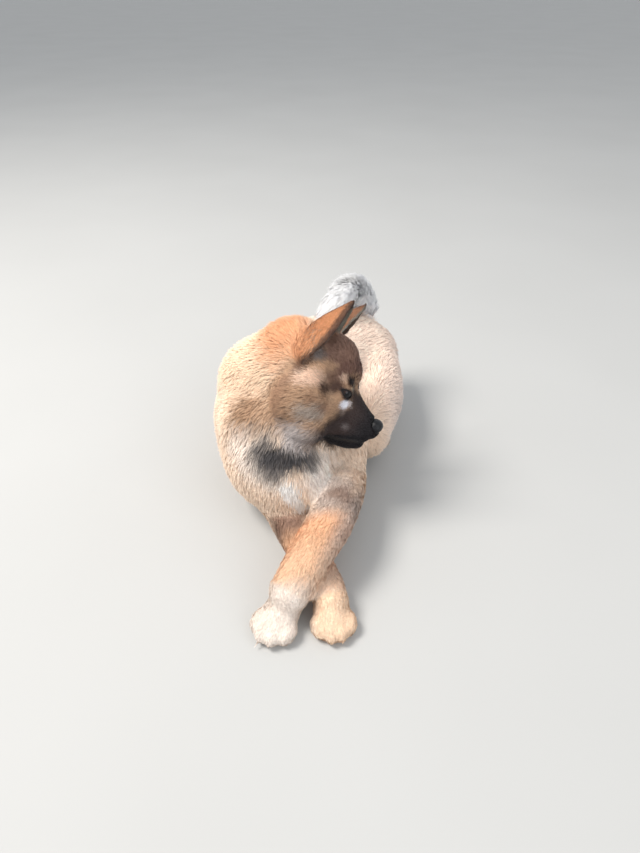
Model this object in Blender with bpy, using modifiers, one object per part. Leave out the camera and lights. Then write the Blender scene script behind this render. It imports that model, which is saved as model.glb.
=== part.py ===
"""A shiba inu puppy, about eleven weeks old, lying on its chest with its forelegs crossed.

Metres, +Z up. The puppy faces -Y, its left side is +X, and it rests on the plane z = 0.
Its trunk bends a little to the left and its head is turned over the left shoulder.
Every sub-part is its own closed solid, a thin gap clear of its neighbours.
"""

import math
import random

import bmesh
import bpy
from mathutils import Matrix, Vector

# Clearance between neighbours, and the fineness of each form
GAP = 0.0004
BODY_VOXEL = 0.0030
LEG_VOXEL = 0.0021
HEAD_VOXEL = 0.0016
BODY_TRIANGLES = 3080
HEAD_TRIANGLES = 2050
FORELEG_TRIANGLES = 740
HINDLEG_TRIANGLES = 380
TAIL_TRIANGLES = 160
EAR_TRIANGLES = 280
NOSE_TRIANGLES = 240
CUTTER_TRIANGLES = 180
BALL_STEP = 0.40

# The trunk, from the breast to the rump: x, y, z, half width, half height
TRUNK = (
    (-0.032, -0.044, 0.067, 0.042, 0.051),
    (-0.046, -0.006, 0.073, 0.064, 0.071),
    (-0.044, 0.048, 0.077, 0.074, 0.080),
    (-0.030, 0.100, 0.078, 0.077, 0.080),
    (0.002, 0.144, 0.076, 0.070, 0.077),
    (0.040, 0.168, 0.073, 0.060, 0.070),
    (0.062, 0.184, 0.070, 0.046, 0.057),
)
# The neck, from between the shoulders to the back of the skull
NECK = (
    (-0.064, 0.064, 0.112, 0.056, 0.054),
    (-0.062, 0.050, 0.133, 0.052, 0.048),
    (-0.048, 0.034, 0.153, 0.045, 0.044),
    (-0.026, 0.026, 0.174, 0.043, 0.043),
)
# The throat and breast, below the neck
THROAT = (
    (-0.062, 0.002, 0.104, 0.051, 0.049),
    (-0.038, -0.010, 0.116, 0.040, 0.040),
    (-0.016, -0.018, 0.122, 0.028, 0.029),
)

# Upper arms, from the shoulder to the elbow
UPPER_ARM = {
    "left": (
        (0.008, 0.040, 0.086, 0.034, 0.038),
        (0.021, 0.012, 0.068, 0.034, 0.038),
        (0.026, -0.014, 0.048, 0.028, 0.032),
    ),
    "right": (
        (-0.089, 0.034, 0.092, 0.035, 0.038),
        (-0.084, 0.004, 0.072, 0.033, 0.036),
        (-0.068, -0.026, 0.045, 0.026, 0.029),
    ),
}
# Forearms, from the elbow to the wrist
FOREARM = {
    "left": (
        (0.027, -0.012, 0.046, 0.0265, 0.0270),
        (0.024, -0.048, 0.051, 0.0270, 0.0260),
        (0.011, -0.098, 0.056, 0.0255, 0.0240),
        (-0.011, -0.140, 0.048, 0.0230, 0.0215),
        (-0.029, -0.166, 0.030, 0.0215, 0.0200),
    ),
    "right": (
        (-0.055, -0.028, 0.040, 0.0265, 0.0290),
        (-0.032, -0.070, 0.031, 0.0245, 0.0260),
        (-0.012, -0.114, 0.022, 0.0210, 0.0200),
        (0.005, -0.146, 0.0185, 0.0190, 0.0180),
        (0.011, -0.168, 0.0175, 0.0180, 0.0170),
    ),
}
# Thighs, from the hip to the knee
THIGH = {
    "left": (
        (0.068, 0.160, 0.080, 0.036, 0.046),
        (0.074, 0.110, 0.066, 0.034, 0.046),
        (0.057, 0.054, 0.046, 0.029, 0.038),
    ),
    "right": (
        (0.020, 0.186, 0.076, 0.034, 0.044),
        (-0.020, 0.192, 0.062, 0.034, 0.042),
        (-0.058, 0.166, 0.044, 0.027, 0.034),
    ),
}
# Shanks, from the knee back to the hock
SHANK = {
    "left": (
        (0.062, 0.066, 0.034, 0.022, 0.026),
        (0.072, 0.104, 0.025, 0.016, 0.018),
        (0.080, 0.140, 0.0175, 0.0130, 0.0150),
    ),
    "right": (
        (-0.056, 0.172, 0.034, 0.022, 0.026),
        (-0.030, 0.202, 0.025, 0.016, 0.018),
        (-0.002, 0.219, 0.0175, 0.0130, 0.0150),
    ),
}
# Each paw: where its wrist or hock stands, the way its toes point in degrees, its size
PAWS = {
    "forepaw_left": ((-0.033, -0.168), -27.0, 1.06),
    "forepaw_right": ((0.009, -0.164), 10.0, 1.02),
    "hindpaw_left": ((0.076, 0.112), -8.0, 0.88),
    "hindpaw_right": ((-0.010, 0.216), -57.0, 0.88),
}
# Where each leg is parted from its paw, and the way that cut faces
LEG_CUTS = {
    "foreleg_left": ((-0.0265, -0.1640, 0.031), (-0.40, -0.65, -0.42)),
    "foreleg_right": ((0.0105, -0.1640, 0.018), (0.28, -0.96, 0.0)),
    "hindleg_left": ((0.0790, 0.1280, 0.018), (-0.14, -1.0, -0.10)),
    "hindleg_right": ((-0.0050, 0.2185, 0.018), (-0.84, -0.54, -0.10)),
}
# The lengths of a paw of size one, from its wrist: how far the toes stand out, and so on
PAW_LENGTH = 0.046
PAW_WIDTH = 0.040
PAW_HEIGHT = 0.024
TOE_RADIUS = 0.0098
CLAW_LENGTH = 0.0050
CLAW_RADIUS = 0.0015

# The tail: it rises from the rump and curls forward over the back, out to the tips of its coat
TAIL = (
    (0.053, 0.206, 0.104, 0.0215, 0.0215),
    (0.056, 0.212, 0.132, 0.0225, 0.0225),
    (0.049, 0.206, 0.158, 0.0215, 0.0215),
    (0.038, 0.190, 0.170, 0.0215, 0.0215),
    (0.025, 0.174, 0.164, 0.0200, 0.0200),
    (0.014, 0.164, 0.150, 0.0160, 0.0160),
)
# The brush: tiers of flat locks round a core, each rooted in the core and lying along the tail
TAIL_CORE = 0.50
LOCK_TIERS = 5
LOCKS_ROUND = 5
LOCK_WIDTH = 0.0230
LOCK_THICK = 0.0052
LOCK_REACH = 0.34
LOCK_SEED = 11

# The head: its nose tip, and how far it is turned, lowered and tilted, in degrees
NOSE_TIP = Vector((0.0640, -0.0270, 0.1205))
HEAD_TURN = 65.5
HEAD_DROP = 21.0
HEAD_TILT = 27.0
# Every place on the head is given forward, left and up of the nose tip
EYE_AT = Vector((-0.0516, 0.0190, 0.0150))
EYE_RADIUS = 0.0088
EYE_LOOK = Vector((0.72, 0.68, 0.10)).normalized()
EYE_SLANT = 22.0
EYE_HALF_LENGTH = 0.0072
EYE_ABOVE = 0.0043
EYE_BELOW = 0.0035
LID_THICK = 0.0020
EAR_TIP = Vector((-0.0830, 0.0400, 0.1010))
EAR_OUTER = Vector((-0.0966, 0.0440, 0.0250))
EAR_INNER = Vector((-0.0865, 0.0110, 0.0600))
EAR_THICK = 0.0044
EAR_CUP = 0.0235
# How far the ear's edges bow out between its foot and its tip
EAR_SWELL_OUTER = 0.0020
EAR_SWELL_INNER = 0.0090
# The line of the mouth in side view, from the front of the lips to their corner
MOUTH = ((-0.004, -0.0205), (-0.018, -0.0240), (-0.031, -0.0290), (-0.043, -0.0335))

# The look of each sub-part: base colour and roughness
TAN = ((0.72, 0.46, 0.27), 0.95)
CREAM = ((0.83, 0.70, 0.56), 0.95)
WHITE = ((0.88, 0.84, 0.78), 0.95)
DARK = ((0.05, 0.04, 0.04), 0.45)
EYE = ((0.02, 0.015, 0.012), 0.10)


def clear_scene():
    for obj in list(bpy.data.objects):
        bpy.data.objects.remove(obj)


def new_collection(name):
    collection = bpy.data.collections.new(name)
    bpy.context.scene.collection.children.link(collection)
    return collection


def mesh_object(name, bm, collection):
    mesh = bpy.data.meshes.new(name)
    bm.to_mesh(mesh)
    bm.free()
    obj = bpy.data.objects.new(name, mesh)
    collection.objects.link(obj)
    return obj


def applied(obj):
    """Replaces the object's mesh by what its modifiers make of it."""
    graph = bpy.context.evaluated_depsgraph_get()
    mesh = bpy.data.meshes.new_from_object(obj.evaluated_get(graph))
    obj.modifiers.clear()
    obj.data = mesh
    return obj


def head_axes():
    """The head's own forward, left and up directions as the columns of a matrix."""
    turn, drop, tilt = (math.radians(a) for a in (HEAD_TURN, HEAD_DROP, HEAD_TILT))
    forward = Vector((
        math.cos(drop) * math.sin(turn),
        -math.cos(drop) * math.cos(turn),
        -math.sin(drop),
    ))
    level_left = Vector((math.cos(turn), math.sin(turn), 0.0))
    level_up = forward.cross(level_left)
    left = level_left * math.cos(tilt) - level_up * math.sin(tilt)
    up = level_up * math.cos(tilt) + level_left * math.sin(tilt)
    return Matrix((forward, left, up)).transposed()


def head_frame():
    return Matrix.Translation(NOSE_TIP) @ head_axes().to_4x4()


def columns(first, second, third):
    return Matrix((first, second, third)).transposed()


def add_ball(bm, centre, radii, axes=None, detail=2):
    """An ellipsoid; axes holds its own three directions as columns."""
    turn = axes.to_4x4() if axes else Matrix.Identity(4)
    shape = Matrix.Translation(centre) @ turn @ Matrix.Diagonal((*radii, 1.0))
    bmesh.ops.create_icosphere(bm, subdivisions=detail, radius=1.0, matrix=shape)


def smooth_line(stations, step=BALL_STEP):
    """Points on a smooth curve through the stations, with their half width and height."""
    rows = [(Vector(s[:3]), Vector((s[3], s[4], 0.0))) for s in stations]
    ends = [tuple(2 * a - b for a, b in zip(rows[0], rows[1]))]
    tail = [tuple(2 * a - b for a, b in zip(rows[-1], rows[-2]))]
    rows = ends + rows + tail
    found = []
    for before, start, end, after in zip(rows, rows[1:], rows[2:], rows[3:]):
        reach = (end[0] - start[0]).length
        count = max(2, math.ceil(reach / (step * min(start[1].x, end[1].x))))
        for i in range(count):
            t = i / count
            place = 0.5 * (
                2 * start[0]
                + (end[0] - before[0]) * t
                + (2 * before[0] - 5 * start[0] + 4 * end[0] - after[0]) * t * t
                + (3 * start[0] - before[0] - 3 * end[0] + after[0]) * t * t * t
            )
            ease = t * t * (3 - 2 * t)
            found.append((place, start[1].lerp(end[1], ease)))
    return found + [rows[-2]]


def add_limb(bm, stations, swell=0.0, detail=2):
    """A thick bent form with an oval section: half width level, half height upright."""
    line = smooth_line(stations)
    for i, (place, half) in enumerate(line):
        ahead = line[min(i + 1, len(line) - 1)][0] - line[max(i - 1, 0)][0]
        ahead.normalize()
        side = ahead.cross(Vector((0, 0, 1)))
        side = side.normalized() if side.length > 0.2 else Vector((1, 0, 0))
        upright = side.cross(ahead)
        wide, high = half.x + swell, half.y + swell
        add_ball(bm, place, (wide, min(wide, high), high),
                 columns(side, ahead, upright), detail)


def fused(name, bm, collection, voxel, rounds, triangles):
    """One smooth outer surface round all the shapes in bm, thinned to so many triangles."""
    return skinned(mesh_object(name, bm, collection), voxel, rounds, triangles)


def skinned(obj, voxel, rounds, triangles):
    skin = obj.modifiers.new("Fuse", "REMESH")
    skin.mode = "VOXEL"
    skin.voxel_size = voxel
    blend = obj.modifiers.new("Blend", "SMOOTH")
    blend.factor = 0.5
    blend.iterations = rounds
    largest_body(applied(obj))
    thin = obj.modifiers.new("Thin", "DECIMATE")
    thin.ratio = min(1.0, triangles / (2 * len(obj.data.polygons)))
    thin.use_collapse_triangulate = True
    return applied(obj)


def largest_body(obj):
    """Keeps the largest closed surface of the object and drops the crumbs."""
    bm = bmesh.new()
    bm.from_mesh(obj.data)
    bodies = []
    seen = set()
    for seed in bm.faces:
        if seed in seen:
            continue
        seen.add(seed)
        body = [seed]
        for face in body:
            for edge in face.edges:
                for other in edge.link_faces:
                    if other not in seen:
                        seen.add(other)
                        body.append(other)
        bodies.append(body)
    bodies.sort(key=lambda body: sum(f.calc_area() for f in body))
    crumbs = [face for body in bodies[:-1] for face in body]
    bmesh.ops.delete(bm, geom=crumbs, context="FACES")
    bm.to_mesh(obj.data)
    bm.free()
    return obj


def cleaned(obj):
    """Drops faces of no area left by a cut, and leaves triangles."""
    bm = bmesh.new()
    bm.from_mesh(obj.data)
    bmesh.ops.dissolve_degenerate(bm, edges=bm.edges, dist=0.000001)
    bmesh.ops.triangulate(bm, faces=bm.faces)
    bm.to_mesh(obj.data)
    bm.free()
    return largest_body(obj)


def as_cutter(obj):
    obj.display_type = "WIRE"
    obj.hide_render = True
    return obj


def grown(obj, by=GAP):
    """A cutter: a copy of the object, fatter all round."""
    copy = bpy.data.objects.new(obj.name + "_grown", obj.data.copy())
    bpy.data.collections["Cutters"].objects.link(copy)
    swell = copy.modifiers.new("Swell", "DISPLACE")
    swell.strength = by
    swell.mid_level = 0.0
    return as_cutter(applied(copy))


def combined(obj, other, operation, solver="EXACT"):
    cut = obj.modifiers.new("Cut", "BOOLEAN")
    cut.operation = operation
    cut.solver = solver
    cut.object = other
    return applied(obj)


def copied(obj, name):
    copy = bpy.data.objects.new(name, obj.data.copy())
    obj.users_collection[0].objects.link(copy)
    return copy


def floor_box():
    bm = bmesh.new()
    shape = Matrix.Translation((0, 0, -0.1)) @ Matrix.Diagonal((1.2, 1.2, 0.2, 1.0))
    bmesh.ops.create_cube(bm, size=1.0, matrix=shape)
    return as_cutter(mesh_object("floor_cutter", bm, bpy.data.collections["Cutters"]))


def limb_cutter(name, stations, swell):
    """A smooth closed form round a limb, that parts it from the trunk."""
    bm = bmesh.new()
    add_limb(bm, stations, swell)
    cutters = bpy.data.collections["Cutters"]
    return as_cutter(fused(name, bm, cutters, 0.004, 8, CUTTER_TRIANGLES))


def build_body(solids):
    """Trunk, neck, upper arms and thighs in one skin, before it is parted."""
    bm = bmesh.new()
    add_limb(bm, TRUNK, detail=3)
    add_limb(bm, NECK, detail=3)
    add_limb(bm, THROAT, detail=3)
    for side in ("left", "right"):
        add_limb(bm, UPPER_ARM[side])
        add_limb(bm, THIGH[side])
    return fused("torso", bm, solids, BODY_VOXEL, 14, BODY_TRIANGLES)


def part_body(body):
    """Cuts the neck, the upper arms and the thighs free of the trunk."""
    nodes = {}
    regions = {"neck": (NECK[1:], 0.012)}
    for side in ("left", "right"):
        regions["shoulder_" + side] = (UPPER_ARM[side], 0.004)
        regions["thigh_" + side] = (THIGH[side], 0.004)
    for name, (stations, swell) in regions.items():
        cutter = limb_cutter(name + "_cutter", stations, swell)
        nodes[name] = combined(copied(body, name), cutter, "INTERSECT")
        combined(body, grown(cutter), "DIFFERENCE")
    nodes["torso"] = body
    return nodes


def add_paw(bm, at, heading, size):
    """A paw flat on the floor: a rounded back and four toes with grooves between them."""
    turn = math.radians(heading)
    ahead = Vector((math.sin(turn), -math.cos(turn), 0.0))
    side = Vector((math.cos(turn), math.sin(turn), 0.0))
    axes = columns(side, ahead, Vector((0, 0, 1)))
    base = Vector((at[0], at[1], 0.0))

    def place(across, along, up):
        return base + side * across * size + ahead * along * size + Vector((0, 0, up * size))

    add_ball(bm, place(0, 0.010, 0.0120),
             [v * size for v in (PAW_WIDTH * 0.46, 0.022, PAW_HEIGHT * 0.59)], axes)
    add_ball(bm, place(0, 0.000, 0.0130),
             [v * size for v in (PAW_WIDTH * 0.42, 0.018, PAW_HEIGHT * 0.60)], axes)
    tips = []
    for across, along in ((-0.0150, 0.022), (-0.0052, 0.029), (0.0052, 0.029), (0.0150, 0.022)):
        add_ball(bm, place(across, along, 0.0086),
                 [v * size for v in (TOE_RADIUS * 0.80, TOE_RADIUS * 1.35, TOE_RADIUS)], axes)
        tips.append((place(across * 1.04, along + TOE_RADIUS * 1.15, 0.0070), ahead))
    return tips


def add_claw(bm, tip, ahead, size):
    """A short curved cone out of the end of a toe."""
    slope = (ahead * 0.90 - Vector((0, 0, 0.36))).normalized()
    turn = slope.to_track_quat("Z", "Y").to_matrix().to_4x4()
    shape = Matrix.Translation(tip + slope * CLAW_LENGTH * size * 0.2) @ turn
    bmesh.ops.create_cone(bm, cap_ends=True, segments=6, radius1=CLAW_RADIUS * size,
                          radius2=0.0003, depth=CLAW_LENGTH * size, matrix=shape)


def build_leg(solids, name, stations, triangles):
    """The lower part of a leg with its paw in one skin, parted at the wrist or hock."""
    paw = name.replace("leg", "paw")
    at, toes, size = PAWS[paw]
    cut_at, heading = LEG_CUTS[name]
    bm = bmesh.new()
    add_limb(bm, stations)
    tips = add_paw(bm, at, toes, size)
    leg = fused(name, bm, solids, LEG_VOXEL, 4, triangles)
    claws = bmesh.new()
    for tip, ahead in tips:
        add_claw(claws, tip, ahead, size)
    claw = as_cutter(mesh_object(paw + "_claws", claws, bpy.data.collections["Cutters"]))
    foot = copied(leg, paw)
    axis = Vector(heading).normalized()
    turn = axis.to_track_quat("Z", "Y").to_matrix().to_4x4()
    for side, obj in ((1.0, foot), (-1.0, leg)):
        slab = bmesh.new()
        middle = Vector(cut_at) - axis * side * (0.1 - GAP / 2)
        shape = Matrix.Translation(middle) @ turn @ Matrix.Diagonal((0.16, 0.16, 0.2, 1.0))
        bmesh.ops.create_cube(slab, size=1.0, matrix=shape)
        cutter = mesh_object(obj.name + "_slab", slab, bpy.data.collections["Cutters"])
        combined(obj, as_cutter(cutter), "DIFFERENCE")
    combined(foot, claw, "UNION")
    return {name: leg, paw: foot}


def head_point(forward, left, up):
    return head_frame() @ Vector((forward, left, up))


def mirrored(vector, side):
    return Vector((vector.x, vector.y * side, vector.z))


def head_limb(bm, rows, detail=2):
    """A limb given in the head's own directions: forward, left, up, half width, half height."""
    axes = head_axes()
    stations = [tuple(row) for row in rows]
    line = smooth_line(stations)
    for place, half in line:
        add_ball(bm, head_frame() @ place, (half.y, half.x, half.y), axes, detail)


def build_head(solids):
    """Skull, cheeks, muzzle, lips and lids in one skin."""
    bm = bmesh.new()
    axes = head_axes()

    def ball(forward, left, up, radii):
        add_ball(bm, head_point(forward, left, up), radii, axes, 3)

    ball(-0.090, 0.0, 0.014, (0.042, 0.044, 0.0435))
    ball(-0.071, 0.0, 0.026, (0.0285, 0.0300, 0.0275))
    ball(-0.079, 0.0, 0.032, (0.0290, 0.0310, 0.0300))
    ball(-0.084, 0.0, -0.014, (0.038, 0.042, 0.0320))
    for side in (1.0, -1.0):
        ball(-0.084, 0.029 * side, -0.010, (0.033, 0.026, 0.033))
        ball(-0.062, 0.018 * side, -0.008, (0.024, 0.020, 0.026))
        ball(-0.070, 0.028 * side, -0.029, (0.026, 0.021, 0.025))
        ball(-0.0570, 0.0150 * side, 0.0260, (0.0120, 0.0120, 0.0085))
        eye = mirrored(EYE_AT, side)
        thick = EYE_RADIUS + LID_THICK
        ball(eye.x, eye.y, eye.z, (thick, thick, thick))
        head_limb(bm, (
            (-0.011, 0.0085 * side, -0.0160, 0.0070, 0.0072),
            (-0.026, 0.0140 * side, -0.0190, 0.0085, 0.0095),
            (-0.044, 0.0185 * side, -0.0230, 0.0080, 0.0105),
        ))
    head_limb(bm, (
        (-0.0080, 0.0, -0.0075, 0.0120, 0.0105),
        (-0.0170, 0.0, -0.0085, 0.0155, 0.0150),
        (-0.0290, 0.0, -0.0080, 0.0190, 0.0190),
        (-0.0430, 0.0, -0.0050, 0.0215, 0.0230),
        (-0.0580, 0.0, 0.0000, 0.0270, 0.0270),
    ), 3)
    head_limb(bm, (
        (-0.0150, 0.0, -0.0270, 0.0110, 0.0090),
        (-0.0280, 0.0, -0.0310, 0.0150, 0.0110),
        (-0.0460, 0.0, -0.0310, 0.0200, 0.0135),
        (-0.0620, 0.0, -0.0270, 0.0240, 0.0170),
    ))
    return fused("head", bm, solids, HEAD_VOXEL, 5, HEAD_TRIANGLES)


def jaw_prism(name, by):
    """The block that holds the lower jaw; by moves its upper and rear faces outward."""
    profile = [(0.020, MOUTH[0][1] + 0.002 + by)]
    profile += [(f, u + by) for f, u in MOUTH[:-1]]
    back = MOUTH[-1]
    profile += [(back[0] - by, back[1] + by), (back[0] - 0.006 - by, -0.075)]
    profile += [(0.020, -0.075)]
    bm = bmesh.new()
    rings = []
    for left in (-0.05, 0.05):
        rings.append([bm.verts.new(head_point(f, left, u)) for f, u in profile])
    count = len(profile)
    for i in range(count):
        j = (i + 1) % count
        bm.faces.new((rings[0][i], rings[0][j], rings[1][j], rings[1][i]))
    bm.faces.new(list(reversed(rings[0])))
    bm.faces.new(rings[1])
    bmesh.ops.recalc_face_normals(bm, faces=bm.faces)
    return as_cutter(mesh_object(name, bm, bpy.data.collections["Cutters"]))


def eye_opening(name, side):
    """The almond that opens the lids, along the way the eye looks."""
    look = mirrored(EYE_LOOK, side)
    across = Vector((0.0, 0.0, 1.0)).cross(look).normalized() * side
    up = look.cross(across) * side
    slant = math.radians(EYE_SLANT)
    outer = (across * math.cos(slant) + up * math.sin(slant)).normalized()
    rise = (up * math.cos(slant) - across * math.sin(slant)).normalized()
    count = 10
    outline = []
    for way, height in ((1.0, EYE_ABOVE), (-1.0, -EYE_BELOW)):
        for i in range(count):
            t = way * (2.0 * i / count - 1.0)
            outline.append((t * EYE_HALF_LENGTH, height * (1 - t * t) ** 0.8))
    bm = bmesh.new()
    rings = []
    eye = mirrored(EYE_AT, side)
    for depth, spread in ((0.0, 0.75), (0.020, 1.35)):
        ring = []
        for a, b in outline:
            place = eye + look * depth + (outer * a + rise * b) * spread
            ring.append(bm.verts.new(head_frame() @ place))
        rings.append(ring)
    total = len(outline)
    for i in range(total):
        j = (i + 1) % total
        bm.faces.new((rings[0][i], rings[0][j], rings[1][j], rings[1][i]))
    bm.faces.new(list(reversed(rings[0])))
    bm.faces.new(rings[1])
    bmesh.ops.recalc_face_normals(bm, faces=bm.faces)
    return as_cutter(mesh_object(name, bm, bpy.data.collections["Cutters"]))


def build_ear(solids, name, side):
    """An upright cupped triangle with a rounded tip, open to the front."""
    tip, outer, inner = (mirrored(v, side) for v in (EAR_TIP, EAR_OUTER, EAR_INNER))
    outer = outer + (outer - tip) * 0.06
    inner = inner + (inner - tip) * 0.30
    across = inner - outer
    front = Vector((1.0, 0.0, 0.0))
    bm = bmesh.new()
    rows, cols = 12, 10
    grid = []
    for i in range(rows + 1):
        t = i / rows
        left_edge = outer.lerp(tip, t)
        right_edge = inner.lerp(tip, t)
        swell = math.sin(math.pi * t ** 0.8)
        width = (right_edge - left_edge)
        sideways = across.normalized()
        left_edge = left_edge - sideways * swell * EAR_SWELL_OUTER
        right_edge = right_edge + sideways * swell * EAR_SWELL_INNER
        if t > 0.86:
            close = math.sqrt(max(0.0, 1 - ((t - 0.86) / 0.14) ** 2))
            middle = (left_edge + right_edge) * 0.5
            left_edge = middle.lerp(left_edge, 0.35 + 0.65 * close)
            right_edge = middle.lerp(right_edge, 0.35 + 0.65 * close)
        row = []
        for j in range(cols + 1):
            s = j / cols
            cup = EAR_CUP * (1 - (2 * s - 1) ** 2) * (1 - t ** 2.2)
            place = left_edge.lerp(right_edge, s) - front * cup
            row.append(bm.verts.new(head_frame() @ place))
        grid.append(row)
    for low, high in zip(grid, grid[1:]):
        for j in range(cols):
            bm.faces.new((low[j], low[j + 1], high[j + 1], high[j]))
    bmesh.ops.remove_doubles(bm, verts=bm.verts, dist=0.0002)
    obj = mesh_object(name, bm, solids)
    shell = obj.modifiers.new("Thickness", "SOLIDIFY")
    shell.thickness = EAR_THICK
    shell.offset = 0.0
    return skinned(applied(obj), 0.0013, 4, EAR_TRIANGLES)


def build_nose(solids, head):
    """The leather of the nose, with a comma-shaped hollow for each nostril."""
    bm = bmesh.new()
    axes = head_axes()
    add_ball(bm, head_point(-0.0058, 0.0, -0.0030), (0.0080, 0.0102, 0.0080), axes, 3)
    add_ball(bm, head_point(-0.0072, 0.0, -0.0090), (0.0060, 0.0054, 0.0062), axes, 3)
    nose = fused("nose", bm, solids, 0.0010, 2, NOSE_TRIANGLES)
    combined(head, grown(nose), "DIFFERENCE")
    for side in (1.0, -1.0):
        cut = bmesh.new()
        add_ball(cut, head_point(0.0012, 0.0044 * side, -0.0042),
                 (0.0046, 0.0021, 0.0022), axes, 2)
        add_ball(cut, head_point(-0.0008, 0.0080 * side, -0.0056),
                 (0.0052, 0.0030, 0.0010), axes, 2)
        name = "nostril_" + ("left" if side > 0 else "right")
        hollow = fused(name, cut, bpy.data.collections["Cutters"], 0.0005, 1, 90)
        combined(nose, as_cutter(hollow), "DIFFERENCE")
    return nose


def build_eye(solids, name, side):
    bm = bmesh.new()
    eye = mirrored(EYE_AT, side)
    globe = head_frame() @ Matrix.Translation(eye)
    bmesh.ops.create_uvsphere(bm, u_segments=14, v_segments=9, radius=EYE_RADIUS, matrix=globe)
    return cleaned(mesh_object(name, bm, solids))


def tail_place(line, share):
    """The point at this share of the tail's line, its radius and the way the tail runs there."""
    at = max(0.0, min(share, 1.0)) * (len(line) - 1)
    index = min(int(at), len(line) - 2)
    start, end = line[index], line[index + 1]
    ahead = (end[0] - start[0]).normalized()
    past = max(0.0, share - 1.0) * (len(line) - 1) * (end[0] - start[0]).length
    place = start[0].lerp(end[0], at - index) + ahead * past
    return place, start[1].lerp(end[1], at - index).x, ahead


def add_lock(collection, line, level, start, angle, reach, width):
    """A flat tapered lock that rises out of the core and then follows the bend of the tail."""
    bm = bmesh.new()
    rings = []
    for t, share, stand in ((0.0, 0.55, 0.20), (0.40, 1.0, 0.72), (0.78, 0.66, 0.84)):
        place, thick, ahead = tail_place(line, start + reach * t)
        out = level * math.cos(angle) + ahead.cross(level) * math.sin(angle)
        side = ahead.cross(out).normalized()
        ring = []
        for a, b in ((1, 0), (0, 1), (-1, 0), (0, -1)):
            across = side * (width * 0.5 * share * a)
            ring.append(bm.verts.new(place + across + out * (
                thick * stand + LOCK_THICK * 0.5 * share * b)))
        rings.append(ring)
    place, thick, ahead = tail_place(line, start + reach)
    out = level * math.cos(angle) + ahead.cross(level) * math.sin(angle)
    tip = bm.verts.new(place + out * thick)
    for low, high in zip(rings, rings[1:]):
        for i in range(4):
            j = (i + 1) % 4
            bm.faces.new((low[i], low[j], high[j], high[i]))
    for i in range(4):
        bm.faces.new((rings[-1][i], rings[-1][(i + 1) % 4], tip))
    bm.faces.new(rings[0])
    bmesh.ops.triangulate(bm, faces=bm.faces)
    bmesh.ops.recalc_face_normals(bm, faces=bm.faces)
    return mesh_object("lock", bm, collection)


def tail_locks(collection):
    """Tiers of locks from the root of the tail to its tip, each tier lying over the next."""
    draw = random.Random(LOCK_SEED)
    line = smooth_line(TAIL)
    root, crown, tip = (Vector(TAIL[i][:3]) for i in (0, 2, -1))
    level = (crown - root).cross(tip - root).normalized()
    for tier in range(LOCK_TIERS):
        for turn in range(LOCKS_ROUND):
            angle = 2 * math.pi * (turn + 0.5 * (tier % 2) + draw.uniform(-0.12, 0.12))
            start = tier / LOCK_TIERS + draw.uniform(-0.02, 0.02)
            reach = LOCK_REACH * draw.uniform(0.92, 1.10)
            add_lock(collection, line, level, start, angle / LOCKS_ROUND, reach, LOCK_WIDTH)


def build_tail(solids):
    """A thick brush curled over the back: a core, and flat tapered locks fused to it."""
    core = [(*station[:3], station[3] * TAIL_CORE, station[4] * TAIL_CORE) for station in TAIL]
    bm = bmesh.new()
    add_limb(bm, core)
    tail = fused("tail", bm, solids, 0.0022, 4, TAIL_TRIANGLES)
    locks = new_collection("Locks")
    tail_locks(locks)
    join = tail.modifiers.new("Join", "BOOLEAN")
    join.operand_type = "COLLECTION"
    join.collection = locks
    join.operation = "UNION"
    join.solver = "EXACT"
    applied(tail)
    for lock in list(locks.objects):
        bpy.data.objects.remove(lock)
    bpy.data.collections.remove(locks)
    return largest_body(tail)


def centred(objects):
    """Moves all the objects so that the middle of their box is over the origin."""
    corners = [v.co for obj in objects for v in obj.data.vertices]
    middle = [0.5 * (min(c[i] for c in corners) + max(c[i] for c in corners)) for i in (0, 1)]
    shift = Matrix.Translation((round(-middle[0], 4), round(-middle[1], 4), 0.0))
    for obj in objects:
        obj.data.transform(shift)


def materials(nodes):
    looks = {
        "torso": CREAM, "neck": TAN, "head": TAN, "lower_jaw": DARK, "nose": DARK,
        "ear_left": TAN, "ear_right": TAN, "eye_left": EYE, "eye_right": EYE,
        "tail": WHITE,
    }
    for name, obj in nodes.items():
        colour, rough = looks.get(name, WHITE if "paw" in name else CREAM)
        material = bpy.data.materials.new(name + "_coat")
        material.use_nodes = True
        shader = material.node_tree.nodes["Principled BSDF"]
        shader.inputs["Base Color"].default_value = (*colour, 1.0)
        shader.inputs["Roughness"].default_value = rough
        obj.data.materials.clear()
        obj.data.materials.append(material)


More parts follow.
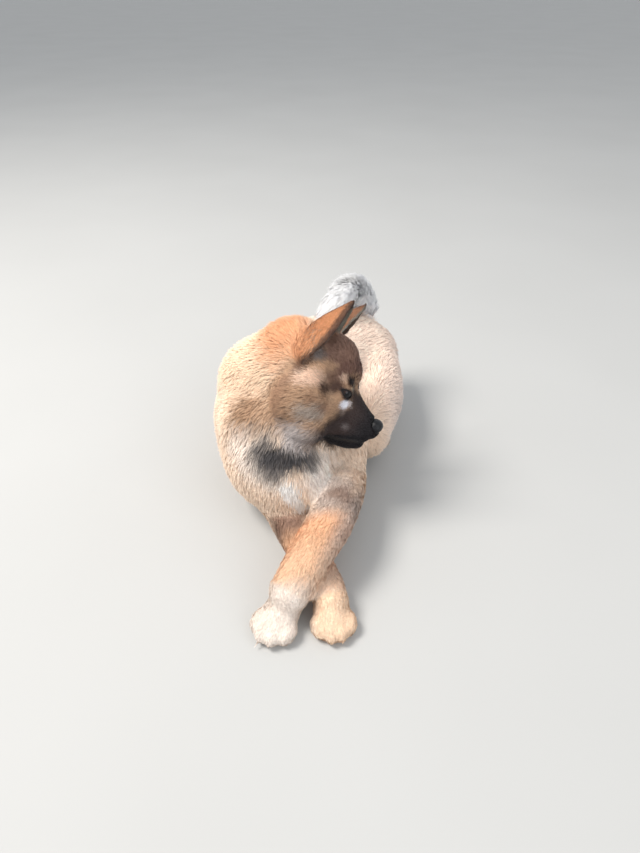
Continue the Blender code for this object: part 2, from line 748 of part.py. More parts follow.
def main():
    clear_scene()
    solids = new_collection("Solids")
    new_collection("Cutters")
    head = build_head(solids)
    body = build_body(solids)
    body_gap = grown(body)
    skull_gap = grown(head)
    combined(head, body_gap, "DIFFERENCE")
    nodes = part_body(body)

    for side in ("left", "right"):
        nodes.update(build_leg(solids, "foreleg_" + side, FOREARM[side], FORELEG_TRIANGLES))
        nodes.update(build_leg(solids, "hindleg_" + side, SHANK[side], HINDLEG_TRIANGLES))
        for low in ("foreleg_", "hindleg_", "hindpaw_"):
            combined(nodes[low + side], body_gap, "DIFFERENCE")
    for low in ("foreleg_right", "forepaw_right"):
        for high in ("foreleg_left", "forepaw_left"):
            combined(nodes[low], grown(nodes[high]), "DIFFERENCE")

    for side, way in (("left", 1.0), ("right", -1.0)):
        eye = build_eye(solids, "eye_" + side, way)
        nodes["eye_" + side] = eye
        combined(head, grown(eye), "DIFFERENCE")
        combined(head, eye_opening("lids_" + side, way), "DIFFERENCE")
    nodes["nose"] = build_nose(solids, head)
    jaw = copied(head, "lower_jaw")
    combined(jaw, jaw_prism("jaw_block", 0.0), "INTERSECT")
    combined(head, jaw_prism("jaw_gap", GAP), "DIFFERENCE")
    nodes["lower_jaw"] = jaw
    for side, way in (("left", 1.0), ("right", -1.0)):
        ear = build_ear(solids, "ear_" + side, way)
        combined(ear, skull_gap, "DIFFERENCE")
        combined(ear, body_gap, "DIFFERENCE")
        nodes["ear_" + side] = ear
    nodes["head"] = head
    tail = build_tail(solids)
    combined(tail, body_gap, "DIFFERENCE")
    nodes["tail"] = tail

    floor = floor_box()
    for obj in nodes.values():
        combined(obj, floor, "DIFFERENCE")
        cleaned(obj)
    centred(nodes.values())
    materials(nodes)


main()
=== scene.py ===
"""The looks of the shiba inu puppy: one skin, a coat of fine tufts, eyes, nose, lips and claws."""

import math

import bmesh
import bpy
import numpy as np
from mathutils import Matrix, Vector
from mathutils.bvhtree import BVHTree
from mathutils.kdtree import KDTree


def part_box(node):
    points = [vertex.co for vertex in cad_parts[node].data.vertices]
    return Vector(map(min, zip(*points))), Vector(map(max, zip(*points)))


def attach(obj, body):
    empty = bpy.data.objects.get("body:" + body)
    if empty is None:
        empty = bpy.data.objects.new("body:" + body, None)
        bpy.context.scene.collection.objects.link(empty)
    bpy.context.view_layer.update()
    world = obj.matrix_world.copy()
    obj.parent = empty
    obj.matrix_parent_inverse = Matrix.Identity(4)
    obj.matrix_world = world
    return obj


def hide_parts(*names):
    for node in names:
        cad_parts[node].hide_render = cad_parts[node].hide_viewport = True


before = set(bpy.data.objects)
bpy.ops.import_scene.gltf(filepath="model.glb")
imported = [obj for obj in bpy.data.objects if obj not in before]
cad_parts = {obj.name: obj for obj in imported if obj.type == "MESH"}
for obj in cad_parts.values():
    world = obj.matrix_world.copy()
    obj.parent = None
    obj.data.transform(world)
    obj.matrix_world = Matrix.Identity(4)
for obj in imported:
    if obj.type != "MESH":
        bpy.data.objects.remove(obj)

for leftover in ("Cube", "Light", "Camera"):
    if leftover in bpy.data.objects:
        bpy.data.objects.remove(bpy.data.objects[leftover])
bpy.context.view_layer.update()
MM = 0.001
SIDES = (1, -1)

# The head's place and turn, as in the part's source
SOURCE_NOSE_TIP = np.array((0.064, -0.027, 0.1205))
HEAD_TURN, HEAD_DROP, HEAD_TILT = 65.5, 21.0, 27.0
EYE_AT = np.array((-0.0516, 0.019, 0.015))
EYE_LOOK = np.array((0.72, 0.68, 0.1)) / np.linalg.norm((0.72, 0.68, 0.1))
EYE_RADIUS = 0.0088
EYE_SLANT = 22.0
EYE_HALF, EYE_ABOVE, EYE_BELOW = 0.008, 0.0037, 0.0024
EAR_TIP = np.array((-0.083, 0.04, 0.101))
EAR_OUTER = np.array((-0.0966, 0.044, 0.025))
EAR_INNER = np.array((-0.0865, 0.011, 0.06))
# The line of the mouth, forward and up in millimetres
MOUTH = ((-4, -20.5), (-18, -24), (-31, -29), (-43, -33.5))
# The tail's line with its radius, out to the tips of its coat, and the share that is core
TAIL = (
    (0.053, 0.206, 0.104, 0.0215),
    (0.056, 0.212, 0.132, 0.0225),
    (0.049, 0.206, 0.158, 0.0215),
    (0.038, 0.19, 0.17, 0.0215),
    (0.025, 0.174, 0.164, 0.02),
    (0.014, 0.164, 0.15, 0.016),
)
TAIL_CORE, TAIL_STEP = 0.5, 0.003
# Each paw: where its wrist or hock stands, the way its toes point in degrees, its size
PAWS = {
    "forepaw_left": ((-0.033, -0.168), -27.0, 1.06),
    "forepaw_right": ((0.009, -0.164), 10.0, 1.02),
    "hindpaw_left": ((0.076, 0.112), -8.0, 0.88),
    "hindpaw_right": ((-0.01, 0.216), -57.0, 0.88),
}

# The camera of the photograph, in the source's own frame
CAMERA_AT = (0.0, -0.512, 0.5)
CAMERA_PITCH = 38.0
CAMERA_LENS = 24.985
CAMERA_FILM = 36.0


def unit(v):
    return v / np.maximum(np.linalg.norm(v, axis=-1, keepdims=True), 1e-9)


def smooth(low, high, x):
    t = np.clip((x - low) / (high - low), 0.0, 1.0)
    return t * t * (3 - 2 * t)


def bell(x, width):
    return np.exp(-(x / width) ** 2)


def mix(a, b, share):
    return a + (b - a) * np.asarray(share)[..., None]


def turned(way, towards, angle):
    """A direction turned by an angle towards another that is square to it."""
    angle = np.asarray(angle)[..., None]
    return way * np.cos(angle) + towards * np.sin(angle)


def head_axes():
    """The head's own forward, left and up directions as the columns of a matrix."""
    turn, drop, tilt = (math.radians(a) for a in (HEAD_TURN, HEAD_DROP, HEAD_TILT))
    flat = math.cos(drop)
    forward = np.array((flat * math.sin(turn), -flat * math.cos(turn), -math.sin(drop)))
    level_left = np.array((math.cos(turn), math.sin(turn), 0.0))
    level_up = np.cross(forward, level_left)
    left, up = turned(level_left, -level_up, tilt), turned(level_up, level_left, tilt)
    return np.stack((forward, left, up), axis=1)


# The solids were centred after modelling: the left eye tells by how much they moved
HEAD = head_axes()
SHIFT = np.mean(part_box("eye_left"), axis=0) - (SOURCE_NOSE_TIP + HEAD @ EYE_AT)
NOSE_TIP = SOURCE_NOSE_TIP + SHIFT


def to_head(points):
    return (np.asarray(points) - NOSE_TIP) @ HEAD


def from_head(points):
    return np.asarray(points) @ HEAD.T + NOSE_TIP


def head_way(vectors):
    return np.asarray(vectors) @ HEAD.T


def mirrored(v, side):
    return np.array((v[0], v[1] * side, v[2]))


def paw_frame(paw):
    """Where a paw stands on the floor, the ways ahead and to its left, and its size."""
    at, heading, size = PAWS[paw]
    turn = math.radians(heading)
    ahead = np.array((math.sin(turn), -math.cos(turn), 0.0))
    left = np.array((math.cos(turn), math.sin(turn), 0.0))
    return np.array((*at, 0.0)) + SHIFT, ahead, left, size


# A soft three-dimensional noise, made of a few sine waves in seeded directions
WAVES = np.random.default_rng(7).normal(size=(40, 3))
PHASES = np.random.default_rng(8).uniform(0, 2 * math.pi, 40)


def noise(points, scale, first=0):
    """Smooth noise between about -1 and 1, with features of about the given size."""
    waves = unit(WAVES[first:first + 8]) * (2 * math.pi / scale)
    return np.sin(points @ waves.T + PHASES[first:first + 8]).sum(axis=1) * 0.3


def link(obj):
    bpy.context.scene.collection.objects.link(obj)
    return obj


def applied(obj):
    graph = bpy.context.evaluated_depsgraph_get()
    mesh = bpy.data.meshes.new_from_object(obj.evaluated_get(graph))
    obj.modifiers.clear()
    obj.data = mesh
    return obj


def rows_of(items, key, width, kind=float):
    """A property of all points, edges or faces of a mesh, one row for each."""
    found = np.zeros(len(items) * width, kind)
    items.foreach_get(key, found)
    return found.reshape(-1, width)


def mesh_arrays(mesh):
    """Places, normals and triangles of a mesh."""
    mesh.calc_loop_triangles()
    return (rows_of(mesh.vertices, "co", 3), rows_of(mesh.vertices, "normal", 3),
            rows_of(mesh.loop_triangles, "vertices", 3, np.int32))


def move_points(mesh, places):
    mesh.vertices.foreach_set("co", places.ravel())
    mesh.update()


def colour_points(mesh, name, tint):
    """Stores one colour for each point of a mesh."""
    rgba = np.ones((len(mesh.vertices), 4))
    rgba[:, :3] = tint
    layer = mesh.color_attributes.new(name=name, type="FLOAT_COLOR", domain="POINT")
    layer.data.foreach_set("color", rgba.ravel())


def object_of(bm, name):
    """An object of this name and form, shaded smoothly."""
    mesh = bpy.data.meshes.new(name)
    bm.to_mesh(mesh)
    bm.free()
    mesh.shade_smooth()
    return link(bpy.data.objects.new(name, mesh))


def fused(obj, voxel, rounds):
    """Fuses the closed forms of an object and evens out the joins."""
    fuse = obj.modifiers.new("Fuse", "REMESH")
    fuse.mode = "VOXEL"
    fuse.voxel_size = voxel
    blend = obj.modifiers.new("Blend", "SMOOTH")
    blend.factor = 0.5
    blend.iterations = rounds
    return applied(obj)


def spread(values, rounds):
    """Evens out a field over the skin by repeated averaging with the neighbours."""
    values = values.astype(float)
    count = len(values)
    flat = values.reshape(count, -1)
    degree = np.bincount(edges.ravel(), minlength=count)
    for _ in range(rounds):
        total = np.stack([
            np.bincount(edges[:, 0], flat[edges[:, 1], k], count)
            + np.bincount(edges[:, 1], flat[edges[:, 0], k], count)
            for k in range(flat.shape[1])
        ], axis=1)
        flat = flat * 0.5 + total / np.maximum(degree, 1)[:, None] * 0.5
    return flat.reshape(values.shape)


def colour(red, green, blue):
    """A colour seen in the photo, from 0 to 255, as linear light."""
    c = np.array((red, green, blue), float) / 255.0
    return np.where(c <= 0.04045, c / 12.92, ((c + 0.055) / 1.055) ** 2.4)


# The coat of the muzzle and round the eye, how far skin and hairs stay off the floor
MUZZLE_COAT, EYE_COAT = 0.0026, 0.002
SKIN_FLOOR, HAIR_FLOOR = 0.0002, 0.0004

# The skin: the nodes of flesh swollen until their gaps close, fused, then drawn in by the coat
FLESH = [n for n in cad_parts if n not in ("eye_left", "eye_right", "nose", "tail")]
NODE_NAMES = FLESH + ["tail"]
FUSE_SIZE = 0.0019
GAP_FILL = 0.0004


def tail_line():
    """Points along the tail with their radii, on a smooth curve through its stations."""
    rows = np.array(TAIL)
    rows[:, :3] += SHIFT
    rows = np.vstack((2 * rows[0] - rows[1], rows, 2 * rows[-1] - rows[-2]))
    found = []
    for before, start, end, after in zip(rows, rows[1:], rows[2:], rows[3:]):
        count = max(2, math.ceil(np.linalg.norm(end[:3] - start[:3]) / TAIL_STEP))
        for t in np.arange(count) / count:
            found.append(0.5 * (
                2 * start + (end - before) * t
                + (2 * before - 5 * start + 4 * end - after) * t * t
                + (3 * start - before - 3 * end + after) * t ** 3
            ))
    return np.array(found + [rows[-2]])


TAIL_LINE = tail_line()


def outer_part(bm):
    """Keeps the faces joined to the highest one, which are all but a few hidden scraps."""
    body = [max(bm.faces, key=lambda face: face.calc_center_median().z)]
    seen = set(body)
    for face in body:
        for edge in face.edges:
            for other in edge.link_faces:
                if other not in seen:
                    seen.add(other)
                    body.append(other)
    bmesh.ops.delete(bm, geom=[face for face in bm.faces if face not in seen], context="FACES")


def refine(bm, centre, reach, rounds):
    """Halves the edges near a place, a given number of times."""
    for _ in range(rounds):
        near = [e for e in bm.edges if any((v.co - centre).length < reach for v in e.verts)]
        bmesh.ops.subdivide_edges(bm, edges=near, cuts=1, use_grid_fill=True)
        reach *= 0.82


def joined(names):
    """The points and triangles of these nodes as one, and which node each triangle is of."""
    verts, faces, owner = [], [], []
    for index, name in enumerate(names):
        places, _, tri = mesh_arrays(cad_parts[name].data)
        faces += (tri + len(verts)).tolist()
        verts += places.tolist()
        owner += [index] * len(tri)
    return verts, faces, owner


def build_skin():
    verts, faces, _ = joined(FLESH + ["eye_left", "eye_right"])
    mesh = bpy.data.meshes.new("nodes")
    mesh.from_pydata(verts, [], faces)
    bm = bmesh.new()
    bm.from_mesh(mesh)
    bmesh.ops.remove_doubles(bm, verts=bm.verts, dist=1e-6)
    for row in TAIL_LINE:
        bmesh.ops.create_icosphere(bm, subdivisions=2, radius=row[3] * TAIL_CORE,
                                   matrix=Matrix.Translation(row[:3]))
    obj = object_of(bm, "skin")
    swell = obj.modifiers.new("Swell", "DISPLACE")
    swell.strength = GAP_FILL
    swell.mid_level = 0.0
    fused(obj, FUSE_SIZE, 5)
    bm = bmesh.new()
    bm.from_mesh(obj.data)
    outer_part(bm)
    for side in SIDES:
        eye = Vector(from_head(mirrored(EYE_AT + EYE_LOOK * EYE_RADIUS, side)))
        refine(bm, eye, 0.015, 2)
    bmesh.ops.triangulate(bm, faces=[f for f in bm.faces if len(f.verts) > 4])
    bm.to_mesh(obj.data)
    bm.free()
    return obj


skin = build_skin()
co, normals, triangles = mesh_arrays(skin.data)
edges = rows_of(skin.data.edges, "vertices", 2, np.int32)


def nearest_nodes(points):
    """For each point, the index in NODE_NAMES of the node that it lies on."""
    verts, faces, owner = joined(NODE_NAMES)
    tree = BVHTree.FromPolygons(verts, faces)
    return np.array([owner[tree.find_nearest(p)[2]] for p in points.tolist()])


node_of = nearest_nodes(co)


def is_on(owners, stems):
    """Which of these owners are nodes whose names begin with one of the stems."""
    return np.isin(owners, [i for i, name in enumerate(NODE_NAMES) if name.startswith(stems)])


# Each part's coat: the first words of its nodes' names, how far it blends into its neighbours,
# length in millimetres, how steeply it stands in degrees, how dense and how wide (mm) its tufts are
COAT = {
    "torso": ("torso", 10, 10.5, 18, 1.0, 0.7),
    "neck": ("neck", 10, 11.5, 21, 1.25, 0.64),
    "head": (("head", "lower_jaw"), 6, 5.8, 21, 3.2, 0.48),
    "ears": ("ear", 3, 3.2, 13, 3.4, 0.42),
    "shoulders": ("shoulder", 10, 9.5, 18, 1.15, 0.66),
    "forelegs": ("foreleg", 8, 5.4, 19, 2.1, 0.56),
    "forepaws": ("forepaw", 5, 3.4, 21, 2.6, 0.5),
    "thighs": ("thigh", 10, 9.8, 18, 1.0, 0.7),
    "hindlegs": ("hindleg", 6, 5.2, 20, 1.9, 0.58),
    "hindpaws": ("hindpaw", 5, 3.4, 21, 2.4, 0.52),
    "tail": ("tail", 6, 20, 33, 3.4, 0.7),
}
# How much each skin point belongs to each part, softened at the borders
PART = {part: spread(is_on(node_of, row[0]), row[1]) for part, row in COAT.items()}

# The creases between the solids of the body are evened out, as the loose skin of a puppy is
plain = np.clip(1.1 - PART["head"] - PART["ears"] - PART["forepaws"] - PART["hindpaws"]
                - PART["tail"] - 0.6 * PART["forelegs"] - 0.5 * PART["hindlegs"], 0, 1)
co = mix(co, spread(co, 60), spread(plain, 6))
move_points(skin.data, co)
co, normals, triangles = mesh_arrays(skin.data)
in_head = to_head(co)


def of_coat(column):
    """A column of the table as a field over the skin."""
    return sum(PART[name] * row[column] for name, row in COAT.items()) / sum(PART.values())


def near_head(place, radius):
    """1 at a place on either side of the head and 0 past the radius, at every skin point."""
    found = np.zeros(len(co))
    for side in SIDES:
        gone = np.linalg.norm(in_head - mirrored(np.array(place), side), axis=1)
        found = np.maximum(found, smooth(radius, radius * 0.35, gone))
    return found * np.clip(PART["head"] + PART["ears"] + PART["neck"] + PART["torso"], 0, 1)


# The coat's length and how steeply it stands: longer on cheek and ruff, short round the eye
cheek = near_head((-0.082, 0.044, -0.018), 0.034)
ruff = near_head((-0.072, 0.036, -0.044), 0.028)
muzzle = smooth(-0.05, -0.034, in_head[:, 0]) * PART["head"]
around_eye = near_head(EYE_AT + EYE_LOOK * EYE_RADIUS, 0.019)
breast = np.linalg.norm((co - SHIFT - (-0.035, -0.085, 0.09)) / (0.065, 0.05, 0.055), axis=1)
breast = smooth(1.0, 0.35, breast) * (PART["torso"] + PART["shoulders"])
length = of_coat(2) * MM + cheek * 0.005 + ruff * 0.006 - breast * 0.002
length = length * (1 - muzzle) + MUZZLE_COAT * muzzle
length += 0.0035 * PART["ears"] * smooth(0.072, 0.036, in_head[:, 2])
length = length * (1 - around_eye) + EYE_COAT * around_eye
stand = of_coat(3) + cheek * 8 + ruff * 8 - breast * 2 - muzzle * 5

# How far the skin lies under the solids' surface
depth = np.maximum(length * np.sin(np.radians(stand)) * 0.85, 0.0005) * (1 - PART["tail"])
# Where the body and the soles rest on the floor no hair holds them off it
depth *= 1 - smooth(-0.6, -0.85, normals[:, 2]) * smooth(0.012, 0.004, co[:, 2])


def eye_frame(side):
    """The eye's centre and its outer, upper and looking directions, in world axes."""
    look = mirrored(EYE_LOOK, side)
    across = unit(np.cross((0.0, 0.0, 1.0), look)) * side
    rise = np.cross(look, across) * side
    slant = math.radians(EYE_SLANT)
    outer, upper = turned(across, rise, slant), turned(rise, -across, slant)
    return from_head(mirrored(EYE_AT, side)), head_way(outer), head_way(upper), head_way(look)


def almond(share):
    """Half height of the opened lids, above and below, at this share of their half length."""
    bulge = np.clip(1 - share * share, 0, 1) ** 0.8
    return EYE_ABOVE * bulge, EYE_BELOW * bulge


def round_the_eye(points, side):
    """How far points lie from the lids' edge, along the eyeball, and how high over its middle.

    The first is negative inside the opening. It is large on the far side of the eyeball.
    """
    centre, outer, upper, look = eye_frame(side)
    gone = points - centre
    way = unit(gone)
    x, y = way @ outer, way @ upper
    arc = EYE_RADIUS * np.arccos(np.clip(way @ look, -1, 1)) / np.maximum(np.hypot(x, y), 1e-9)
    a, b = x * arc, y * arc
    above, below = almond(a / EYE_HALF)
    past = np.where(b > 0, b - above, -b - below)
    past = np.where(np.abs(a) > EYE_HALF, np.hypot(np.abs(a) - EYE_HALF, b), past)
    far = np.linalg.norm(gone, axis=1) > 0.02
    return np.where(far, 1.0, past), b


for side in SIDES:
    centre = eye_frame(side)[0]
    depth *= 1 - 0.75 * smooth(0.015, 0.01, np.linalg.norm(co - centre, axis=1))
depth = spread(depth, 6)
co = co - normals * depth[:, None]


def open_lids(points):
    """Draws the skin back behind each eyeball inside the lids and rounds the lids over it."""
    for side in SIDES:
        centre = eye_frame(side)[0]
        past, rise = round_the_eye(points, side)
        gone = points - centre
        far = np.linalg.norm(gone, axis=1)
        lid = (past >= 0) & (past < 0.006)
        # The lid's edge lies just clear of the eyeball and swells into a soft fold
        fold = 0.0008 * bell(past - 0.0015, 0.0011) * np.where(rise > 0, 1.0, 0.6)
        crease = 0.0006 * bell(past - 0.0037, 0.0009) * np.where(rise > 0, 1.0, 0.5)
        edge = EYE_RADIUS + 0.0005 + fold - crease
        share = smooth(0.0055, 0.0012, past)
        far = np.where(lid, np.maximum(far * (1 - share) + edge * share, EYE_RADIUS + 0.0004), far)
        far = np.where(past < 0, EYE_RADIUS - 0.0016, far)
        points = centre + unit(gone) * far[:, None]
    return points


EAR_BOW, EAR_LOWER = 0.0052, 0.004


def bow_ears(points):
    """Lets the outer edge of each ear swell forward, and sets the left ear a little lower."""
    local = to_head(points)
    for side in SIDES:
        tip, foot = mirrored(EAR_TIP, side), mirrored(EAR_OUTER, side)
        line = foot - tip
        share = (local - tip) @ line / (line @ line)
        off = np.linalg.norm(local - tip - share[:, None] * line, axis=1)
        bow = np.sin(np.pi * np.clip(share, 0, 1)) * smooth(0.028, 0.004, off) * PART["ears"]
        local[:, 0] += EAR_BOW * bow
    lower = smooth(0.045, 0.1, local[:, 2]) * PART["ears"] * (local[:, 1] > 0)
    local[:, 2] -= EAR_LOWER * lower
    local[:, 0] += EAR_LOWER / 2 * lower
    return from_head(local)


co = bow_ears(open_lids(co))
co[:, 2] = np.maximum(co[:, 2], SKIN_FLOOR)
move_points(skin.data, co)
co, normals, triangles = mesh_arrays(skin.data)
in_head = to_head(co)
SKIN_TREE = BVHTree.FromPolygons(co.tolist(), triangles.tolist())

# The colours of the coat, as the photo shows them
ORANGE = colour(217, 158, 116)
PEACH = colour(248, 218, 188)
CREAM = colour(242, 216, 192)
CHEEK = colour(190, 154, 124)
CHEEK_DARK = colour(158, 120, 94)
FOREHEAD_BROWN_AND_SHADOW = colour(152, 117, 100)
BROW_DARK = colour(112, 80, 70)
EAR_GREY = colour(140, 130, 126)
PALE_AND_SUNLIT = colour(232, 200, 176)
DARK_EDGE = colour(84, 60, 50)
BLACK = colour(22, 20, 25)
DARK_BROWN = colour(64, 50, 47)
UNDER_EYE = colour(250, 248, 255)
MUZZLE_GREY = colour(128, 118, 116)
SILVER = colour(190, 182, 180)
THROAT_DARK_AND_SHADOW = colour(70, 67, 68)
WHITE = colour(250, 247, 243)
TAIL_WHITE = colour(252, 252, 255)
NECK_TAN = colour(174, 138, 108)
CHEEK_GREY = colour(186, 174, 164)
EAR_NOTCH = colour(98, 68, 50)
INNER_CORNER = colour(184, 176, 160)
BEIGE = colour(250, 238, 228)
UPPER_LEG = colour(148, 116, 98)
FOREARM = colour(240, 190, 150)
PAW = colour(246, 232, 220)
PAW_PEACH = colour(246, 214, 182)
BACK = colour(252, 228, 210)
FLANK_GREY_AND_SHADE = colour(212, 196, 188)
PAINTED_RIM_LIGHT = colour(232, 232, 236)
EAR_BACK = colour(198, 136, 94)
EAR_INSIDE = colour(140, 134, 122)
BARE_SKIN = colour(24, 20, 20)


def paint():
    """The coat's colour at every skin point, from soft patches laid one over the other."""
    shade = np.tile(CREAM, (len(co), 1))
    # Places are in millimetres here, and both sides of the head are marked alike
    world = (co - SHIFT) / MM
    face = np.stack((in_head[:, 0], np.abs(in_head[:, 1]), in_head[:, 2]), axis=1) / MM
    x, y, z = world.T
    ahead, aside, up = face.T
    ragged = noise(co, 0.018) * 0.1 + noise(co, 0.007, 8) * 0.06

    def lay(tint, share):
        nonlocal shade
        shade = mix(shade, tint, np.clip(share, 0, 1))

    def patch(tint, place, radii, edge, share=1.0):
        """Lays a colour on an oval with a ragged border, full inside the edge's share of it."""
        gone = (where - np.array(place)) / np.array(radii)
        lay(tint, smooth(1.0, edge, np.linalg.norm(gone, axis=1) + ragged) * share)

    def band(tint, start, end, radius, edge, share=1.0):
        """Lays a colour along the line between two places, likewise."""
        start, end = np.array(start), np.array(end)
        line = end - start
        along = np.clip((where - start) @ line / (line @ line), 0, 1)
        gone = np.linalg.norm(where - start - along[:, None] * line, axis=1) / radius
        lay(tint, smooth(1.0, edge, gone + ragged) * share)

    # The back and the haunches. From here to the legs, places are of the body
    where = world
    body = PART["torso"] + PART["thighs"] + PART["hindlegs"]
    lay(BACK, body * smooth(30, 80, y))
    # The flank's own greyish coat, deepened by painted shade toward the far side and down to the floor
    lay(FLANK_GREY_AND_SHADE, body * smooth(60, 105, x) * smooth(150, 60, z))
    # Painted rim light: a bluish white along the far edge of the haunch
    lay(PAINTED_RIM_LIGHT, body * smooth(100, 118, x) * 0.8)
    # The neck: orange behind the ears, paler down to the shoulder
    front = PART["neck"] + PART["shoulders"] + PART["torso"]
    lay(PEACH, front * smooth(100, 170, z) * smooth(80, 30, y))
    patch(ORANGE, (-36, 10, 214), (56, 62, 46), 0.25)
    # Tan below the cheek, partly its own colour and partly painted shade from the head
    patch(NECK_TAN, (-70, -30, 141), (36, 40, 34), 0.3)
    patch(CHEEK, (-50, -36, 148), (30, 34, 34), 0.1, 0.85)
    # The throat and the breast; the throat's dark grey is sable hair with the head's shadow painted over
    # it
    patch(BEIGE, (10, -75, 92), (40, 60, 46), 0.4)
    band(BEIGE, (-80, -50, 112), (-50, -82, 100), 34, 0.2, 0.7)
    patch(CHEEK_GREY, (-56, -52, 128), (30, 30, 26), 0.1, 0.8)
    # Dark sable hair and painted shadow of the head on the throat
    band(THROAT_DARK_AND_SHADOW, (-51, -64, 114), (-30, -62, 115), 31, 0.1)
    band(THROAT_DARK_AND_SHADOW, (-30, -62, 115), (-10, -57, 111), 23, 0.1)
    band(THROAT_DARK_AND_SHADOW, (-51, -64, 114), (-47, -71, 100), 24, 0.1, 0.8)
    band(WHITE, (-33, -80, 88), (-19, -84, 60), 9.8, 0.5)
    # The legs
    forelegs = PART["forelegs"]
    legs = forelegs + PART["shoulders"] * 0.6
    patch(UPPER_LEG, (22, -80, 74), (44, 40, 40), 0.05, legs * 0.85)
    # Brown-grey low on the foreleg under the chest, partly its own colour and partly painted shade
    patch(UPPER_LEG, (-34, -94, 44), (34, 40, 40), 0.4, legs)
    lay(FOREARM, forelegs * smooth(-90, -116, y))
    # The same grey on the far side of the forelegs: painted shade
    lay(FLANK_GREY_AND_SHADE, forelegs * smooth(18, 34, x - 0.5 * (y + 100)) * 0.6)
    lay(PAW_PEACH, forelegs * smooth(-120, -160, y) * 0.5)
    lay(PAW, forelegs * smooth(-160, -176, y) * 0.8)
    lay(PAW, PART["forepaws"])
    lay(PAW_PEACH, PART["forepaws"] * smooth(-14, 0, x) * 0.9)
    lay(PAW, PART["hindpaws"] + PART["hindlegs"] * 0.6)
    # The head: orange at the back of the skull, brown on the forehead, darkened there by a painted
    # shadow of the ear. From here on, places are of the head
    where = face
    head = PART["head"]
    lay(CHEEK, head)
    lay(ORANGE, head * smooth(18, 44, up) * smooth(-84, -100, ahead))
    # The forehead's sable brown, partly the ear's shadow painted in
    patch(FOREHEAD_BROWN_AND_SHADOW, (-70, 4, 52), (42, 40, 29), 0.75)
    patch(BROW_DARK, (-50, 6, 38), (18, 18, 18), 0.2, 0.75)
    # Painted sunlight: a pale band on the top of the cheek behind the eye
    band(PALE_AND_SUNLIT, (-92, 45, 14), (-73, 42, 21), 11.5, 0.35, 0.95)
    patch(BROW_DARK, (-60, 24, 36), (13, 15, 13), 0.2, 0.9)
    patch(BROW_DARK, (-63, 31, 25), (17, 17, 13), 0.2, 0.75)
    patch(EAR_GREY, (-91, 34, 39), (15, 14, 12), 0.35, 0.9)
    # Dark hair and painted shade in the notch at the outer foot of the ear
    patch(EAR_NOTCH, (-94, 40, 28.5), (9.5, 9.5, 9.5), 0.4, 0.9)
    # Around the eye
    band(DARK_EDGE, (-55, 28, 19), (-65, 39, 13), 8.5, 0.2, 0.95)
    patch(PALE_AND_SUNLIT, (-54.5, 25, 28.5), (7, 8, 4.5), 0.3, 0.6)
    patch(INNER_CORNER, (-43.5, 16.5, 22.5), (6, 6, 7), 0.3, 0.7)
    band(DARK_BROWN, (-43, 13, 18), (-36, 8, 12), 8, 0.3, 0.9)
    patch(EAR_NOTCH, (-48, 20, 28), (7, 7, 6.2), 0.5)
    patch(BLACK, (-48, 20, 28), (5.2, 5.5, 5), 0.4, 0.9)
    # The muzzle, darker to the nose and the lips
    rear = -38.5 - np.clip(4 - up, 0, 30) * 0.48
    lay(DARK_BROWN, head * smooth(-6, 6, ahead - rear + ragged * 12))
    lay(BLACK, head * smooth(-36, -12, ahead + ragged * 10) * 0.9)
    mouth = [(forward, 19, rise) for forward, rise in MOUTH]
    for start, end in zip(mouth, mouth[1:]):
        band(BLACK, start, end, 7.5, 0.5, 0.95)
    lay(BLACK, head * smooth(-48, -40, ahead) * smooth(-26, -33, up))
    patch(MUZZLE_GREY, (-31, 21, -14), (6, 8, 5.5), 0.1, 0.5)
    # The pale patch under the eye and the cheek below it
    patch(MUZZLE_GREY, (-42, 24, -1), (7, 10, 8), 0.1, 0.5)
    band(CHEEK_GREY, (-58, 45, -8), (-72, 51, -13), 13, 0.2, 0.8)
    patch(CHEEK_DARK, (-71, 47, 1), (10, 12, 7), 0.2, 0.6)
    patch(UNDER_EYE, (-42.8, 23.8, 6.2), (5.8, 10.5, 7.2), 0.4)
    patch(CHEEK_DARK, (-56, 40, -2), (12, 16, 8), 0.1, 0.7)
    band(CHEEK_DARK, (-104, 46, 4), (-94, 50, -36), 17, 0.1, 0.7)
    patch(SILVER, (-67, 46, -40), (30, 26, 21), 0.3, 0.9)
    # The ring of dark skin round the lids
    for side in SIDES:
        past, _ = round_the_eye(co, side)
        lay(DARK_BROWN, smooth(0.0034, 0.001, past) * 0.8)
        lay(BLACK, smooth(0.0016, 0.0006, past) * 0.95)
    # The ears: orange behind, a dark rim, grey inside
    ears, tip, outer, inner = PART["ears"], EAR_TIP / MM, EAR_OUTER / MM, EAR_INNER / MM
    lay(EAR_BACK, ears)
    lay(ORANGE, ears * smooth(60, 30, up) * 0.8)
    # Dark hair and painted shade in the notch at the outer foot of the ear
    patch(EAR_NOTCH, outer - (1, 2, 3), (10, 10, 14), 0.3, 0.8)
    inner_edge = np.interp(up, (inner[2], tip[2]), (inner[1], tip[1]))
    outer_edge = np.interp(up, (outer[2], tip[2]), (outer[1], tip[1]))
    across = (aside - inner_edge) / np.maximum(outer_edge - inner_edge, 4)
    # Painted shade on the upper part of each ear next to its inner edge
    lay(DARK_EDGE, ears * smooth(0.6, 0.3, across) * smooth(45, 60, up) * 0.65)
    lay(EAR_INSIDE, ears * smooth(0.1, 0.5, normals @ head_way((1.0, 0.0, 0.0))))
    middle = (outer + (5.2, 0, 0) + tip) / 2
    band(DARK_EDGE, tip, middle, 6.2, 0.3, ears * 0.85)
    band(DARK_EDGE, middle, outer, 5.2, 0.3, ears * 0.85)
    lay(DARK_EDGE, ears * smooth(84, 100, up) * 0.6)
    # The tail
    lay(TAIL_WHITE, PART["tail"])
    shade *= (1 + 0.04 * noise(co, 0.03, 16) + 0.03 * noise(co, 0.01, 24))[:, None]
    return np.clip(shade, 0.003, 1.0)


shades = paint()

